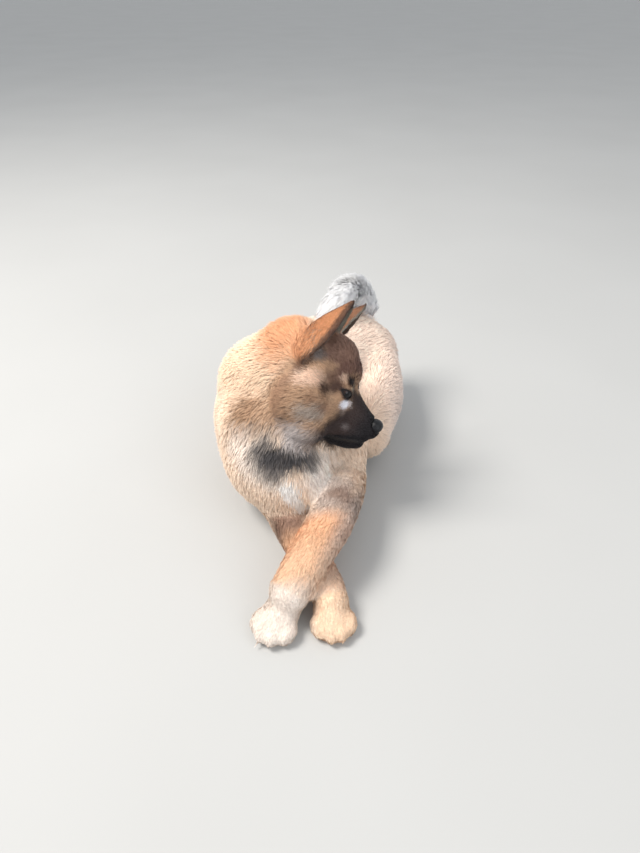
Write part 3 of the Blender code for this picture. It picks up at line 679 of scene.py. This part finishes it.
# Combs: a place in millimetres, the way the coat lies there and how far the comb reaches.
# Those of the head are forward, left and up from the nose's tip, and hold for both sides
HEAD_COMBS = (
    (-12, 0, 4, -1, 0, 0.3, 12),
    (-34, 0, 14, -1, 0, 0.5, 14),
    (-56, 0, 45, -0.6, 0, 0.8, 16),
    (-85, 0, 58, -1, 0, -0.1, 20),
    (-110, 0, 50, -0.9, 0, -0.5, 22),
    (-14, 10, -12, -1, 0.2, -0.2, 12),
    (-30, 17, -12, -1, 0.3, -0.2, 14),
    (-30, 10, -36, -1, 0.1, -0.5, 16),
    (-46, 26, 2, -0.9, 0.3, -0.3, 12),
    (-56, 18, 32, -0.6, 0.4, 0.7, 12),
    (-66, 30, 12, -1, 0.2, -0.1, 14),
    (-78, 40, 26, -1, 0.1, 0.1, 16),
    (-66, 36, -12, -0.8, 0.2, -0.6, 16),
    (-88, 48, -10, -0.8, 0.2, -0.6, 20),
    (-70, 40, -36, -0.6, 0.2, -0.9, 20),
    (-96, 48, -30, -0.6, 0.2, -0.9, 20),
)
WORLD_COMBS = (
    (-30, 10, 205, -0.5, 0.7, -0.2, 30),
    (-65, 15, 190, -0.5, 0.6, -0.5, 30),
    (-100, 10, 150, -0.1, 0.4, -0.9, 35),
    (-85, -40, 140, -0.2, -0.1, -1, 35),
    (-110, 40, 110, -0.1, 0.8, -0.6, 40),
    (-40, -70, 118, -0.2, -0.3, -1, 28),
    (-30, -95, 80, 0, -0.3, -1, 26),
    (14, -70, 90, 0.2, -0.3, -0.9, 28),
    (-80, -70, 80, -0.1, -0.1, -1, 35),
    (-60, 90, 150, 0.1, 1, -0.1, 40),
    (-20, 120, 155, 0.4, 0.9, 0, 40),
    (20, 160, 150, 0.7, 0.6, -0.1, 40),
    (60, 90, 120, 0.3, 0.9, -0.5, 40),
    (100, 90, 90, 0, 0.8, -0.8, 40),
    (110, 150, 80, 0, 0.5, -1, 40),
    (60, 220, 80, 0.3, 0.3, -1, 40),
    (-100, 100, 90, 0.1, 0.9, -0.7, 45),
    (-60, 170, 90, 0.4, 0.7, -0.8, 45),
    (0, 210, 80, 0.5, 0.2, -1, 40),
    (50, 0, 70, 0.2, -0.6, -0.8, 35),
    (80, 60, 50, 0.2, 0.7, -0.5, 30),
)
LEG_COMBS = (
    (27, -30, 50, 0, -1, 0, 26),
    (20, -70, 52, -0.2, -1, 0.1, 26),
    (0, -120, 52, -0.4, -0.9, -0.2, 26),
    (-26, -160, 34, -0.5, -0.7, -0.5, 26),
    (-60, -30, 36, 0.4, -0.9, -0.2, 26),
    (-30, -95, 26, 0.4, -0.9, -0.2, 26),
    (5, -160, 18, 0.3, -1, -0.1, 26),
)
FAINT_PULL = 1e-9


def comb_out():
    """The way the coat lies at every skin point, in the plane of the skin."""
    way = np.zeros((len(co), 3))
    total = np.full(len(co), 1e-12)

    def comb(place, direction, radius, where):
        nonlocal way, total
        gone = np.linalg.norm(co - place, axis=1)
        pull = bell(gone, radius) * where + FAINT_PULL / (gone + 0.01)
        way += unit(direction) * pull[:, None]
        total += pull

    head = np.clip(PART["head"], 0, 1)
    body = np.clip(1 - PART["head"] - PART["forelegs"] - PART["forepaws"]
                   - PART["hindpaws"] - PART["ears"] - PART["tail"], 0.02, 1)
    for row in HEAD_COMBS:
        for side in SIDES:
            place, direction = mirrored(row[:3], side), mirrored(row[3:6], side)
            comb(from_head(place * MM), head_way(direction), row[6] * MM, head)
    for combs, where in ((WORLD_COMBS, body), (LEG_COMBS, PART["forelegs"])):
        for row in np.array(combs):
            comb(row[:3] * MM + SHIFT, row[3:6], row[6] * MM, where)
    way /= total[:, None]
    for paw in PAWS:
        base, ahead, _, _ = paw_frame(paw)
        part = PART["forepaws"] if "fore" in paw else PART["hindpaws"] + PART["hindlegs"]
        near = smooth(0.075, 0.055, np.linalg.norm(co - base, axis=1)) * np.clip(part, 0, 1)
        way = mix(way, ahead - (0, 0, 0.15), near)
    for side in SIDES:
        tip = from_head(mirrored(EAR_TIP, side))
        gone = tip - co
        near = PART["ears"] * (np.linalg.norm(gone, axis=1) < 0.1) * (in_head[:, 1] * side > 0)
        way = mix(way, unit(gone), near)
    line, ahead = TAIL_LINE[:, :3], unit(np.gradient(TAIL_LINE[:, :3], axis=0))
    for row in np.nonzero(PART["tail"] > 0.02)[0]:
        nearest = np.argmin(((line - co[row]) ** 2).sum(axis=1))
        way[row] = mix(way[row], ahead[nearest], PART["tail"][row])
    way -= normals * (way * normals).sum(axis=1)[:, None]
    way = spread(unit(way), 8)
    way -= normals * (way * normals).sum(axis=1)[:, None]
    return unit(way)


lies = comb_out()


# Sampling: how many tufts each part gets, and how wide they are
density = of_coat(4) + muzzle * 3.0 + around_eye * 2.5 - cheek * 0.6
width = of_coat(5) * MM - muzzle * 0.0001 - around_eye * 0.00012
# No tufts inside the lids, on the nose or where the body lies on the floor
bare = np.zeros(len(co))
for side in SIDES:
    bare = np.maximum(bare, round_the_eye(co, side)[0] < 0.0002)
on_nose = np.linalg.norm((in_head - (-0.0045, 0.0, -0.004)) / (0.009, 0.0108, 0.0092), axis=1)
bare = np.maximum(bare, on_nose < 1.0)
under = smooth(-0.6, -0.85, normals[:, 2]) * smooth(0.016, 0.006, co[:, 2])
density = density * (1 - bare) * (1 - 0.95 * under)

TUFTS = 285000
TUFTS_A_PIECE = 39000
TUFTS_A_LOCK = 10
STEPS = np.array((0.0, 0.36, 0.7, 1.0))
WIDE = np.array((0.85, 1.0, 0.72))


def tree_of(places):
    """A tree that finds the nearest of these places."""
    tree = KDTree(len(places))
    for i, place in enumerate(places.tolist()):
        tree.insert(place, i)
    tree.balance()
    return tree


def grow_tufts():
    """Roots, bent centre lines, widths and colours of all the tufts."""
    rng = np.random.default_rng(20417)
    corner = co[triangles]
    area = np.linalg.norm(np.cross(corner[:, 1] - corner[:, 0], corner[:, 2] - corner[:, 0]), axis=1) / 2
    weight = area * density[triangles].mean(axis=1)
    pick = np.searchsorted(np.cumsum(weight) / weight.sum(), np.sort(rng.random(TUFTS)))
    pick = np.minimum(pick, len(triangles) - 1)
    a, b = rng.random((2, TUFTS))
    flip = a + b > 1
    a, b = np.where(flip, 1 - a, a), np.where(flip, 1 - b, b)
    share = np.stack((1 - a - b, a, b), axis=1)
    tri = triangles[pick]

    def at(field):
        return (field[tri] * share.reshape(TUFTS, 3, *[1] * (field.ndim - 1))).sum(axis=1)

    root, normal, lie = at(co), unit(at(normals)), unit(at(lies))
    long, steep, wide = at(length), np.radians(at(stand)), at(width)
    points = tree_of(co)
    stray = root + rng.normal(0, 0.1, (TUFTS, 3)) * np.minimum(long * 2, 0.02)[:, None]
    tone = shades[np.array([points.find(spot)[1] for spot in stray.tolist()])]
    part = {name: at(value) for name, value in PART.items()}
    place = node_of[tri[:, 0]]

    # Each tuft belongs to a lock: the nearest of a thinner set of roots
    leads = np.arange(0, TUFTS, TUFTS_A_LOCK)
    leads = leads[rng.permutation(len(leads))]
    tree = tree_of(root[leads])
    lock = np.array([tree.find(p)[1] for p in root.tolist()])

    lock_turn = rng.normal(0, 0.13, len(leads))[lock]
    lock_long = rng.normal(1, 0.08, len(leads))[lock]
    lock_tone = rng.normal(1, 0.022, len(leads))[lock]
    turn = lock_turn + rng.normal(0, 0.13, TUFTS)
    side = np.cross(normal, lie)
    lie = unit(turned(lie, side, turn))
    long = long * lock_long * rng.uniform(0.78, 1.14, TUFTS)
    start = np.clip(steep * 1.5 + rng.normal(0, 0.1, TUFTS), 0.1, 1.3)
    end = np.clip(steep * 0.4 + rng.normal(0, 0.09, TUFTS), 0.0, 1.2)
    line = np.zeros((TUFTS, 4, 3))
    line[:, 0] = root - normal * 0.0003
    for k in range(1, 4):
        step = STEPS[k] - STEPS[k - 1]
        lean = start + (end - start) * (STEPS[k] + STEPS[k - 1]) / 2
        line[:, k] = line[:, k - 1] + turned(lie, normal, lean) * (long * step)[:, None]
    # The tufts of one lock lean together towards its tip
    pull = 0.3 * (STEPS ** 1.5)
    together = line[leads[lock]]
    reach = np.linalg.norm(root[leads[lock]] - root, axis=1)
    hold = smooth(0.01, 0.004, reach)
    line += (together - line) * pull[None, :, None] * hold[:, None, None]
    line[:, :, 2] = np.maximum(line[:, :, 2], HAIR_FLOOR)

    ahead = unit(line[:, 3] - line[:, 0])
    across = unit(np.cross(ahead, normal))
    roll = rng.normal(0, 0.4, TUFTS)
    up = unit(np.cross(across, ahead))
    across = turned(across, up, roll)
    # The hairs take the light as the body under them does, which makes the coat look soft
    shade_way = unit(normal * 0.8 + unit(np.cross(across, ahead)) * 0.3)

    # Colours: darker at the root, with single dark-tipped hairs where the coat is grizzled
    tone = tone * (lock_tone * rng.normal(1, 0.035, TUFTS))[:, None]
    on_back = smooth(0.04, 0.08, root[:, 1] - SHIFT[1])
    grizzle = (0.02 + 0.1 * part["head"] + 0.09 * on_back * (part["torso"] + part["thighs"])
               + 0.02 * part["forelegs"]) * (1 - part["tail"])
    dark = rng.random(TUFTS) < grizzle
    pale = rng.random(TUFTS) < 0.035
    tip_tone = mix(tone * 1.05, tone * 0.66, dark)
    tip_tone = mix(tip_tone, tip_tone * 1.18 + 0.012, pale & ~dark)
    root_tone = tone * mix(0.92, 0.98, part["tail"])
    fade = np.array((0.0, 0.45, 0.85, 1.0))
    colours = root_tone[:, None] + (tip_tone - root_tone)[:, None] * fade[None, :, None]
    colours = np.clip(colours, 0.002, 1.0)
    return line, across, wide * rng.uniform(0.8, 1.2, TUFTS), colours, place, root, shade_way


GUIDE_TRIANGLES = 6000


def unwrap_skin():
    """A coarse copy of the skin with its own unwrap, to place each tuft on."""
    guide = link(bpy.data.objects.new("unwrap_guide", skin.data.copy()))
    thin = guide.modifiers.new("Thin", "DECIMATE")
    thin.ratio = GUIDE_TRIANGLES / len(triangles)
    thin.use_collapse_triangulate = True
    applied(guide)
    bpy.context.view_layer.objects.active = guide
    guide.select_set(True)
    bpy.ops.object.mode_set(mode="EDIT")
    bpy.ops.mesh.select_all(action="SELECT")
    bpy.ops.uv.smart_project(angle_limit=math.radians(66), island_margin=0.004)
    bpy.ops.object.mode_set(mode="OBJECT")
    mesh = guide.data
    guide_co, _, corners = mesh_arrays(mesh)
    uv = rows_of(mesh.uv_layers.active.data, "uv", 2)
    loops = rows_of(mesh.loop_triangles, "loops", 3, np.int32)
    tree = BVHTree.FromPolygons(guide_co.tolist(), corners.tolist())
    bpy.data.objects.remove(guide)
    return tree, guide_co[corners], uv[loops]


def places_on_unwrap(points):
    """For each point, the place of the nearest point of the unwrapped skin."""
    tree, corners, uv = unwrap_skin()
    found = [tree.find_nearest(p) for p in points.tolist()]
    face = np.array([f[2] for f in found])
    spot = np.array([tuple(f[0]) for f in found])
    a, b, c = (corners[face, k] for k in range(3))
    u, v, w = b - a, c - a, spot - a
    uu, uv_, vv = (u * u).sum(1), (u * v).sum(1), (v * v).sum(1)
    wu, wv = (w * u).sum(1), (w * v).sum(1)
    bottom = np.maximum(uu * vv - uv_ * uv_, 1e-18)
    s, t = (wu * vv - wv * uv_) / bottom, (wv * uu - wu * uv_) / bottom
    share = np.clip(np.stack((1 - s - t, s, t), axis=1), 0, 1)
    share /= share.sum(axis=1, keepdims=True)
    return (uv[face] * share[:, :, None]).sum(axis=1)


UV_PATCH = 0.003


def tuft_mesh(name, line, across, wide, colours, uv_root, shade_way):
    """One joined mesh of flat tapered tufts, each of two quads and a triangle at its tip."""
    count = len(line)
    half = across[:, None] * (wide[:, None] * WIDE / 2)[:, :, None]
    pairs = np.stack((line[:, :3] - half, line[:, :3] + half), axis=2).reshape(count, 6, 3)
    points = np.concatenate((pairs, line[:, 3:]), axis=1)
    points[:, :, 2] = np.maximum(points[:, :, 2], SKIN_FLOOR)
    patch = [(way * w, step - 0.5) for step, w in zip(STEPS, WIDE) for way in (-0.5, 0.5)]
    patch = np.array([*patch, (0.0, 0.5)]) * UV_PATCH
    patch = np.clip(uv_root[:, None] + patch, 0.0, 1.0)
    corners = (0, 1, 3, 2, 2, 3, 5, 4, 4, 5, 6)
    loops = ((np.arange(count) * 7)[:, None] + corners).ravel().astype(np.int32)
    starts = ((np.arange(count) * 11)[:, None] + (0, 4, 8)).ravel().astype(np.int32)
    mesh = bpy.data.meshes.new(name)
    mesh.vertices.add(count * 7)
    mesh.vertices.foreach_set("co", points.ravel())
    mesh.loops.add(count * 11)
    mesh.loops.foreach_set("vertex_index", loops)
    mesh.polygons.add(count * 3)
    mesh.polygons.foreach_set("loop_start", starts)
    mesh.update(calc_edges=True)
    mesh.validate()
    mesh.shade_smooth()
    loops = rows_of(mesh.loops, "vertex_index", 1, np.int32).ravel()
    layer = mesh.uv_layers.new(name="OFBake")
    layer.data.foreach_set("uv", patch.reshape(-1, 2)[loops].ravel())
    mesh.normals_split_custom_set_from_vertices(np.repeat(shade_way, 7, axis=0))
    colour_points(mesh, "Coat", colours[:, (0, 0, 1, 1, 2, 2, 3)].reshape(-1, 3))
    return link(bpy.data.objects.new(name, mesh))


def new_material(name):
    material = bpy.data.materials.new(name)
    material.use_nodes = True
    return material, material.node_tree


def fill(tree, node, inputs):
    """Sets inputs of a shader node, each to a value or to what another one gives."""
    for name, value in inputs.items():
        socket = node.inputs[name.replace("_", " ")]
        if isinstance(value, bpy.types.NodeSocket):
            tree.links.new(value, socket)
        else:
            socket.default_value = value
    return node


def add(tree, kind, **inputs):
    return fill(tree, tree.nodes.new("ShaderNode" + kind), inputs)


def texture(tree, kind, scale, **inputs):
    """A texture that goes through the whole object."""
    place = add(tree, "TexCoord").outputs["Object"]
    return add(tree, "Tex" + kind, Vector=place, Scale=scale, **inputs)


def level(tree, value, low, high, start=0.0, end=1.0):
    """Goes from low to high as the value goes from start to end."""
    node = add(tree, "MapRange", Value=value, From_Min=start, From_Max=end, To_Min=low, To_Max=high)
    return node.outputs["Result"]


def ramp(tree, value, dark, light, start=0.0, end=1.0):
    """A colour that goes from dark to light as the value goes from start to end."""
    node = add(tree, "ValToRGB", Fac=value)
    for element, position, tint in zip(node.color_ramp.elements, (start, end), (dark, light)):
        element.position = position
        element.color = (*tint, 1.0)
    return node.outputs["Color"]


def bump(tree, height, strength, distance):
    node = add(tree, "Bump", Height=height, Strength=strength, Distance=distance)
    return node.outputs["Normal"]


def own_colour(tree, layer):
    """The colour painted on the mesh itself."""
    node = add(tree, "Attribute")
    node.attribute_name = layer
    return node.outputs["Color"]


def grained(tree, grain, low, high):
    """The coat's own colour, made darker and lighter by a grain."""
    node = add(tree, "VectorMath")
    node.operation = "SCALE"
    tree.links.new(own_colour(tree, "Coat"), node.inputs[0])
    tree.links.new(level(tree, grain, low, high, 0.3, 0.7), node.inputs["Scale"])
    return node.outputs["Vector"]


def finished(material, **inputs):
    """The material, with these inputs of its surface set."""
    fill(material.node_tree, material.node_tree.nodes["Principled BSDF"], inputs)
    return material


def coat_material():
    """The hairs: their own colour with a fine variation along the coat."""
    material, tree = new_material("coat_hairs")
    grain = texture(tree, "Noise", 900.0, Detail=2.0).outputs["Fac"]
    return finished(material, Base_Color=grained(tree, grain, 0.86, 1.1), Roughness=0.62,
                    Specular_IOR_Level=0.28, Sheen_Weight=0.12, Sheen_Roughness=0.5)


def skin_material():
    """The undercoat seen between the tufts: the same markings with a fine short nap."""
    material, tree = new_material("undercoat")
    nap = texture(tree, "Noise", 1400.0, Detail=3.0).outputs["Fac"]
    return finished(material, Base_Color=grained(tree, nap, 0.75, 1.15), Roughness=0.85,
                    Specular_IOR_Level=0.15, Normal=bump(tree, nap, 0.5, 0.0004))


def leather_material(name, dark, light, scale, rough, bump_depth, gloss):
    """Dark bare skin, pebbled: nose, lips and lid rims."""
    material, tree = new_material(name)
    cells = texture(tree, "Voronoi", scale).outputs["Distance"]
    cloud = texture(tree, "Noise", scale * 0.3).outputs["Fac"]
    return finished(material, Base_Color=ramp(tree, cloud, dark, light, 0.3, 0.75),
                    Roughness=level(tree, cloud, rough * 0.8, rough * 1.25),
                    Normal=bump(tree, cells, 0.7, bump_depth), Specular_IOR_Level=0.32,
                    Coat_Weight=gloss, Coat_Roughness=0.25)


def cloudy_material(name, scale, dark, light, distortion, **inputs):
    """A plain surface with a cloud in its colour: claws and floor."""
    material, tree = new_material(name)
    cloud = texture(tree, "Noise", scale, Distortion=distortion).outputs["Fac"]
    return finished(material, Base_Color=ramp(tree, cloud, dark, light), **inputs)


def eye_material():
    """Moist and clear, over the colours painted on the eyeball."""
    material, tree = new_material("eye_glass")
    veil = texture(tree, "Noise", 300.0).outputs["Fac"]
    return finished(material, Base_Color=own_colour(tree, "Eye"),
                    Roughness=level(tree, veil, 0.1, 0.2), Specular_IOR_Level=0.12,
                    Coat_Weight=0.45, Coat_Roughness=0.04)


def dress(obj, material, slot, nodes=()):
    """Gives a piece its material and its body, and hides the nodes that it stands for. The slot is not
    used.
    """
    obj.data.materials.clear()
    obj.data.materials.append(material)
    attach(obj, "root")
    if nodes:
        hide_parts(*nodes)


def finish_skin():
    tint = shades * mix(0.92, 1.0, PART["tail"])
    colour_points(skin.data, "Coat", mix(tint, BARE_SKIN, np.clip(bare, 0, 1)))
    skin.data.shade_smooth()
    dress(skin, skin_material(), "cream_coat", NODE_NAMES)


COAT_PIECES = (
    ("coat_head", "tan_coat", ("head", "lower_jaw", "ear")),
    ("coat_neck", "tan_coat", "neck"),
    ("coat_trunk", "cream_coat", ("torso", "shoulder")),
    ("coat_legs", "cream_coat", "fore"),
    ("coat_haunches", "cream_coat", ("thigh", "hind")),
    ("coat_tail", "white_coat", "tail"),
)


def build_coat():
    line, across, wide, colours, place, root, shade_way = grow_tufts()
    uv_root = places_on_unwrap(root)
    hairs = coat_material()
    for group, slot, stems in COAT_PIECES:
        rows = np.nonzero(is_on(place, stems))[0]
        pieces = max(1, math.ceil(len(rows) / TUFTS_A_PIECE))
        for number, some in enumerate(np.array_split(rows, pieces), 1):
            name = group if pieces == 1 else f"{group}_{number}"
            obj = tuft_mesh(name, line[some], across[some], wide[some], colours[some],
                            uv_root[some], shade_way[some])
            dress(obj, hairs, slot)


def tube(name, points, radii, sides):
    """A closed tapered tube through the points."""
    points = np.asarray(points, float)
    ahead = unit(np.gradient(points, axis=0))
    bm = bmesh.new()
    rings = []
    side = np.cross(ahead[0], (0.3, 0.5, 0.8))
    for place, way, radius in zip(points, ahead, radii):
        side = unit(side - way * (side @ way))
        up = np.cross(way, side)
        ring = place + turned(side, up, 2 * math.pi * np.arange(sides) / sides) * radius
        rings.append([bm.verts.new(spot) for spot in ring])
    for low, high in zip(rings, rings[1:]):
        for k in range(sides):
            bm.faces.new((low[k - 1], low[k], high[k], high[k - 1]))
    bm.faces.new(list(reversed(rings[0])))
    bm.faces.new(rings[-1])
    return object_of(bm, name)


def build_eye(side, name):
    """An eyeball with a raised cornea, painted by its angle from the way it looks."""
    centre, outer, upper, look = eye_frame(side)
    bm = bmesh.new()
    bmesh.ops.create_uvsphere(bm, u_segments=64, v_segments=48, radius=1.0)
    eye = object_of(bm, name)
    ball, _, _ = mesh_arrays(eye.data)
    off = np.arccos(np.clip(ball[:, 2], -1, 1))
    turn = np.arctan2(ball[:, 1], ball[:, 0])
    bulge = 1 + 0.075 * smooth(0.72, 0.2, off)
    shape = ball * (EYE_RADIUS * bulge)[:, None]
    move_points(eye.data, centre + shape @ np.stack((outer, upper, look)))
    spokes = 0.5 + 0.5 * np.sin(turn * 31 + 3 * np.sin(turn * 7)) * np.sin(turn * 17)
    # From the white at the rim inward: the white's edge, the dark ring, the iris and the pupil
    iris = mix(colour(30, 17, 13), colour(58, 34, 22), spokes * 0.6)
    tint = colour(120, 104, 98)
    for inner, outside, inside in ((colour(60, 44, 38), 1.02, 0.9), (colour(12, 8, 8), 0.92, 0.84),
                                   (iris, 0.86, 0.74), (colour(4, 3, 5), 0.46, 0.38)):
        tint = mix(tint, inner, smooth(outside, inside, off))
    colour_points(eye.data, "Eye", tint)
    return eye


def build_lid_rim(side, name):
    """The bare dark rim of both lids, one closed ring along the almond."""
    centre, outer, upper, look = eye_frame(side)
    points, radii = [], []
    for way in (1, -1):
        for step in np.arange(28) / 14 - 1:
            share = way * step
            above, below = almond(share * 0.995)
            b = above if way > 0 else -below
            a = share * EYE_HALF
            arc = max(math.hypot(a, b), 1e-9)
            turn = arc / EYE_RADIUS
            ray = turned(look, (outer * a + upper * b) / arc, turn)
            points.append(centre + ray * (EYE_RADIUS + 0.0002))
            radii.append(0.0005 if way > 0 else 0.0004)
    return tube(name, points + points[:1], radii + radii[:1], 10)


def on_face(forward, up, side):
    """The point on the skin reached sideways from the middle of the head."""
    start = Vector(from_head((forward, 0.0, up)))
    way = Vector(head_way((0.0, side, 0.0)))
    hit = SKIN_TREE.ray_cast(start, way)
    if hit[0] is None or hit[3] > 0.04:
        return None
    return np.array(hit[0])


LIP_RADIUS = 0.0012


def build_lips():
    """The dark edge of both lips along the line of the mouth, from corner to corner."""
    line = np.array(MOUTH) * MM
    share = np.linspace(0, 1, 18)
    places = np.stack([np.interp(share * 3, range(4), line[:, k]) for k in (0, 1)], axis=1)
    for name, rise in (("lip_upper", 0.0009), ("lip_lower", -0.0011)):
        points = []
        for side in (-1, 1):
            found = [on_face(forward, up + rise, side) for forward, up in places]
            points += [spot for spot in found if spot is not None][::side]
        points = np.array(points)
        for _ in range(3):
            points[1:-1] = 0.5 * points[1:-1] + 0.25 * (points[:-2] + points[2:])
        ends = np.minimum(np.arange(len(points)), np.arange(len(points))[::-1])
        radii = LIP_RADIUS * (0.45 + 0.55 * smooth(0, 6, ends))
        yield tube(name, points, radii, 8)


NOSE_FUSE_SIZE = 0.00034


def build_nose():
    """The leather of the nose: a broad top, two nostrils with side slits, a groove between."""
    bm = bmesh.new()
    turn = Matrix(HEAD.tolist()).to_4x4()
    for place, radii in (
        ((-0.0058, 0.0, -0.0018), (0.0084, 0.0096, 0.0068)),
        ((-0.0052, 0.0046, -0.0036), (0.0074, 0.0054, 0.0054)),
        ((-0.0052, -0.0046, -0.0036), (0.0074, 0.0054, 0.0054)),
        ((-0.007, 0.0, -0.008), (0.0058, 0.0038, 0.0062)),
    ):
        shape = Matrix.Translation(from_head(place)) @ turn @ Matrix.Diagonal((*radii, 1.0))
        bmesh.ops.create_icosphere(bm, subdivisions=4, radius=1.0, matrix=shape)
    obj = fused(object_of(bm, "nose_leather"), NOSE_FUSE_SIZE, 6)
    points, way, _ = mesh_arrays(obj.data)
    local = to_head(points)
    sink = np.zeros(len(points))
    for side in SIDES:
        hole = (local - mirrored((0.0012, 0.005, -0.0038), side)) / (0.0052, 0.0028, 0.0025)
        sink = np.maximum(sink, 0.0042 * smooth(1.0, 0.25, np.linalg.norm(hole, axis=1)))
        slit = (local - mirrored((-0.0018, 0.0086, -0.006), side)) / (0.0056, 0.004, 0.0013)
        sink = np.maximum(sink, 0.0022 * smooth(1.0, 0.1, np.linalg.norm(slit, axis=1)))
    groove = bell(local[:, 1], 0.0006) * smooth(-0.001, -0.006, local[:, 2])
    sink = np.maximum(sink, 0.0008 * groove)
    points = to_head(points - way * sink[:, None])
    past = np.maximum(points[:, 0] + 0.0005, 0)
    points[:, 0] -= past * 0.2
    move_points(obj.data, from_head(points))
    obj.data.shade_smooth()
    return obj


CLAW_ROOTS = ((-0.0156, 0.0278), (-0.0054, 0.0348), (0.0054, 0.0348), (0.0156, 0.0278))
CLAW_HEIGHT, CLAW_LENGTH, CLAW_DROP, CLAW_RADIUS = 0.008, 0.0056, 0.0042, 0.0017


def build_claws(paw):
    """Four short curved claws at the ends of the toes, nearly hidden by the hair."""
    base, ahead, left, size = paw_frame(paw)
    bm = bmesh.new()
    for across, along in CLAW_ROOTS:
        start = base + left * across * size + ahead * along * size
        start[2] = CLAW_HEIGHT * size
        points, radii = [], []
        for t in np.linspace(0, 1, 7):
            down = np.array((0, 0, -CLAW_DROP * t ** 1.7 * size))
            points.append(start + ahead * CLAW_LENGTH * t * size + down)
            radii.append(CLAW_RADIUS * size * (1 - t) ** 0.6 + 0.00018)
        claw = tube("claw", points, radii, 10)
        bm.from_mesh(claw.data)
        bpy.data.objects.remove(claw)
    return object_of(bm, "claws_" + paw)


def build_stage():
    bm = bmesh.new()
    bmesh.ops.create_grid(bm, x_segments=1, y_segments=1, size=30.0)
    floor = object_of(bm, "floor")
    floor.data.materials.append(cloudy_material(
        "studio_floor", 3.0, (0.47, 0.47, 0.46), (0.51, 0.51, 0.5), 0.0,
        Roughness=0.9, Specular_IOR_Level=0.2))


def build_lights():
    world = bpy.data.worlds.new("studio")
    bpy.context.scene.world = world
    world.use_nodes = True
    fill(world.node_tree, world.node_tree.nodes["Background"],
         {"Color": (0.93, 0.96, 1.0, 1.0), "Strength": 0.74})
    for name, place, size, power, tint in (
        ("key", (-1.25, -0.1, 2.1), 0.9, 64.0, (1.0, 0.96, 0.91)),
        ("fill", (1.5, -1.4, 1.5), 1.6, 15.0, (0.96, 0.98, 1.0)),
    ):
        light = bpy.data.lights.new(name, "AREA")
        light.size = size
        light.energy = power
        light.color = tint
        obj = link(bpy.data.objects.new(name, light))
        obj.location = place
        obj.rotation_euler = (Vector(place) - Vector((0, 0, 0.1))).to_track_quat("Z", "Y").to_euler()


def build_camera():
    data = bpy.data.cameras.new("camera")
    data.lens = CAMERA_LENS
    data.sensor_width = CAMERA_FILM
    data.sensor_fit = "AUTO"
    camera = link(bpy.data.objects.new("camera", data))
    camera.location = np.array(CAMERA_AT) + SHIFT
    camera.rotation_euler = (math.radians(90 - CAMERA_PITCH), 0.0, 0.0)
    bpy.context.scene.camera = camera
    bpy.context.scene.view_settings.view_transform = "Standard"


def build_all():
    finish_skin()
    build_coat()
    leather = leather_material("nose_skin", (0.002, 0.002, 0.003), (0.006, 0.006, 0.008),
                               1500.0, 0.36, 0.00022, 0.04)
    rim = leather_material("rim_skin", (0.006, 0.005, 0.005), (0.014, 0.011, 0.011),
                           1800.0, 0.55, 0.0001, 0.05)
    for side, name in ((1, "left"), (-1, "right")):
        dress(build_eye(side, "eyeball_" + name), eye_material(), "eyes", ["eye_" + name])
        dress(build_lid_rim(side, "lid_rim_" + name), rim, "dark_coat")
    for lip in build_lips():
        dress(lip, rim, "dark_coat")
    dress(build_nose(), leather, "nose_leather", ["nose"])
    horn = cloudy_material("claw_horn", 600.0, (0.035, 0.028, 0.024), (0.16, 0.13, 0.11), 1.5,
                           Roughness=0.32)
    for paw in PAWS:
        dress(build_claws(paw), horn, "dark_coat")
    build_stage()
    build_lights()
    build_camera()


build_all()
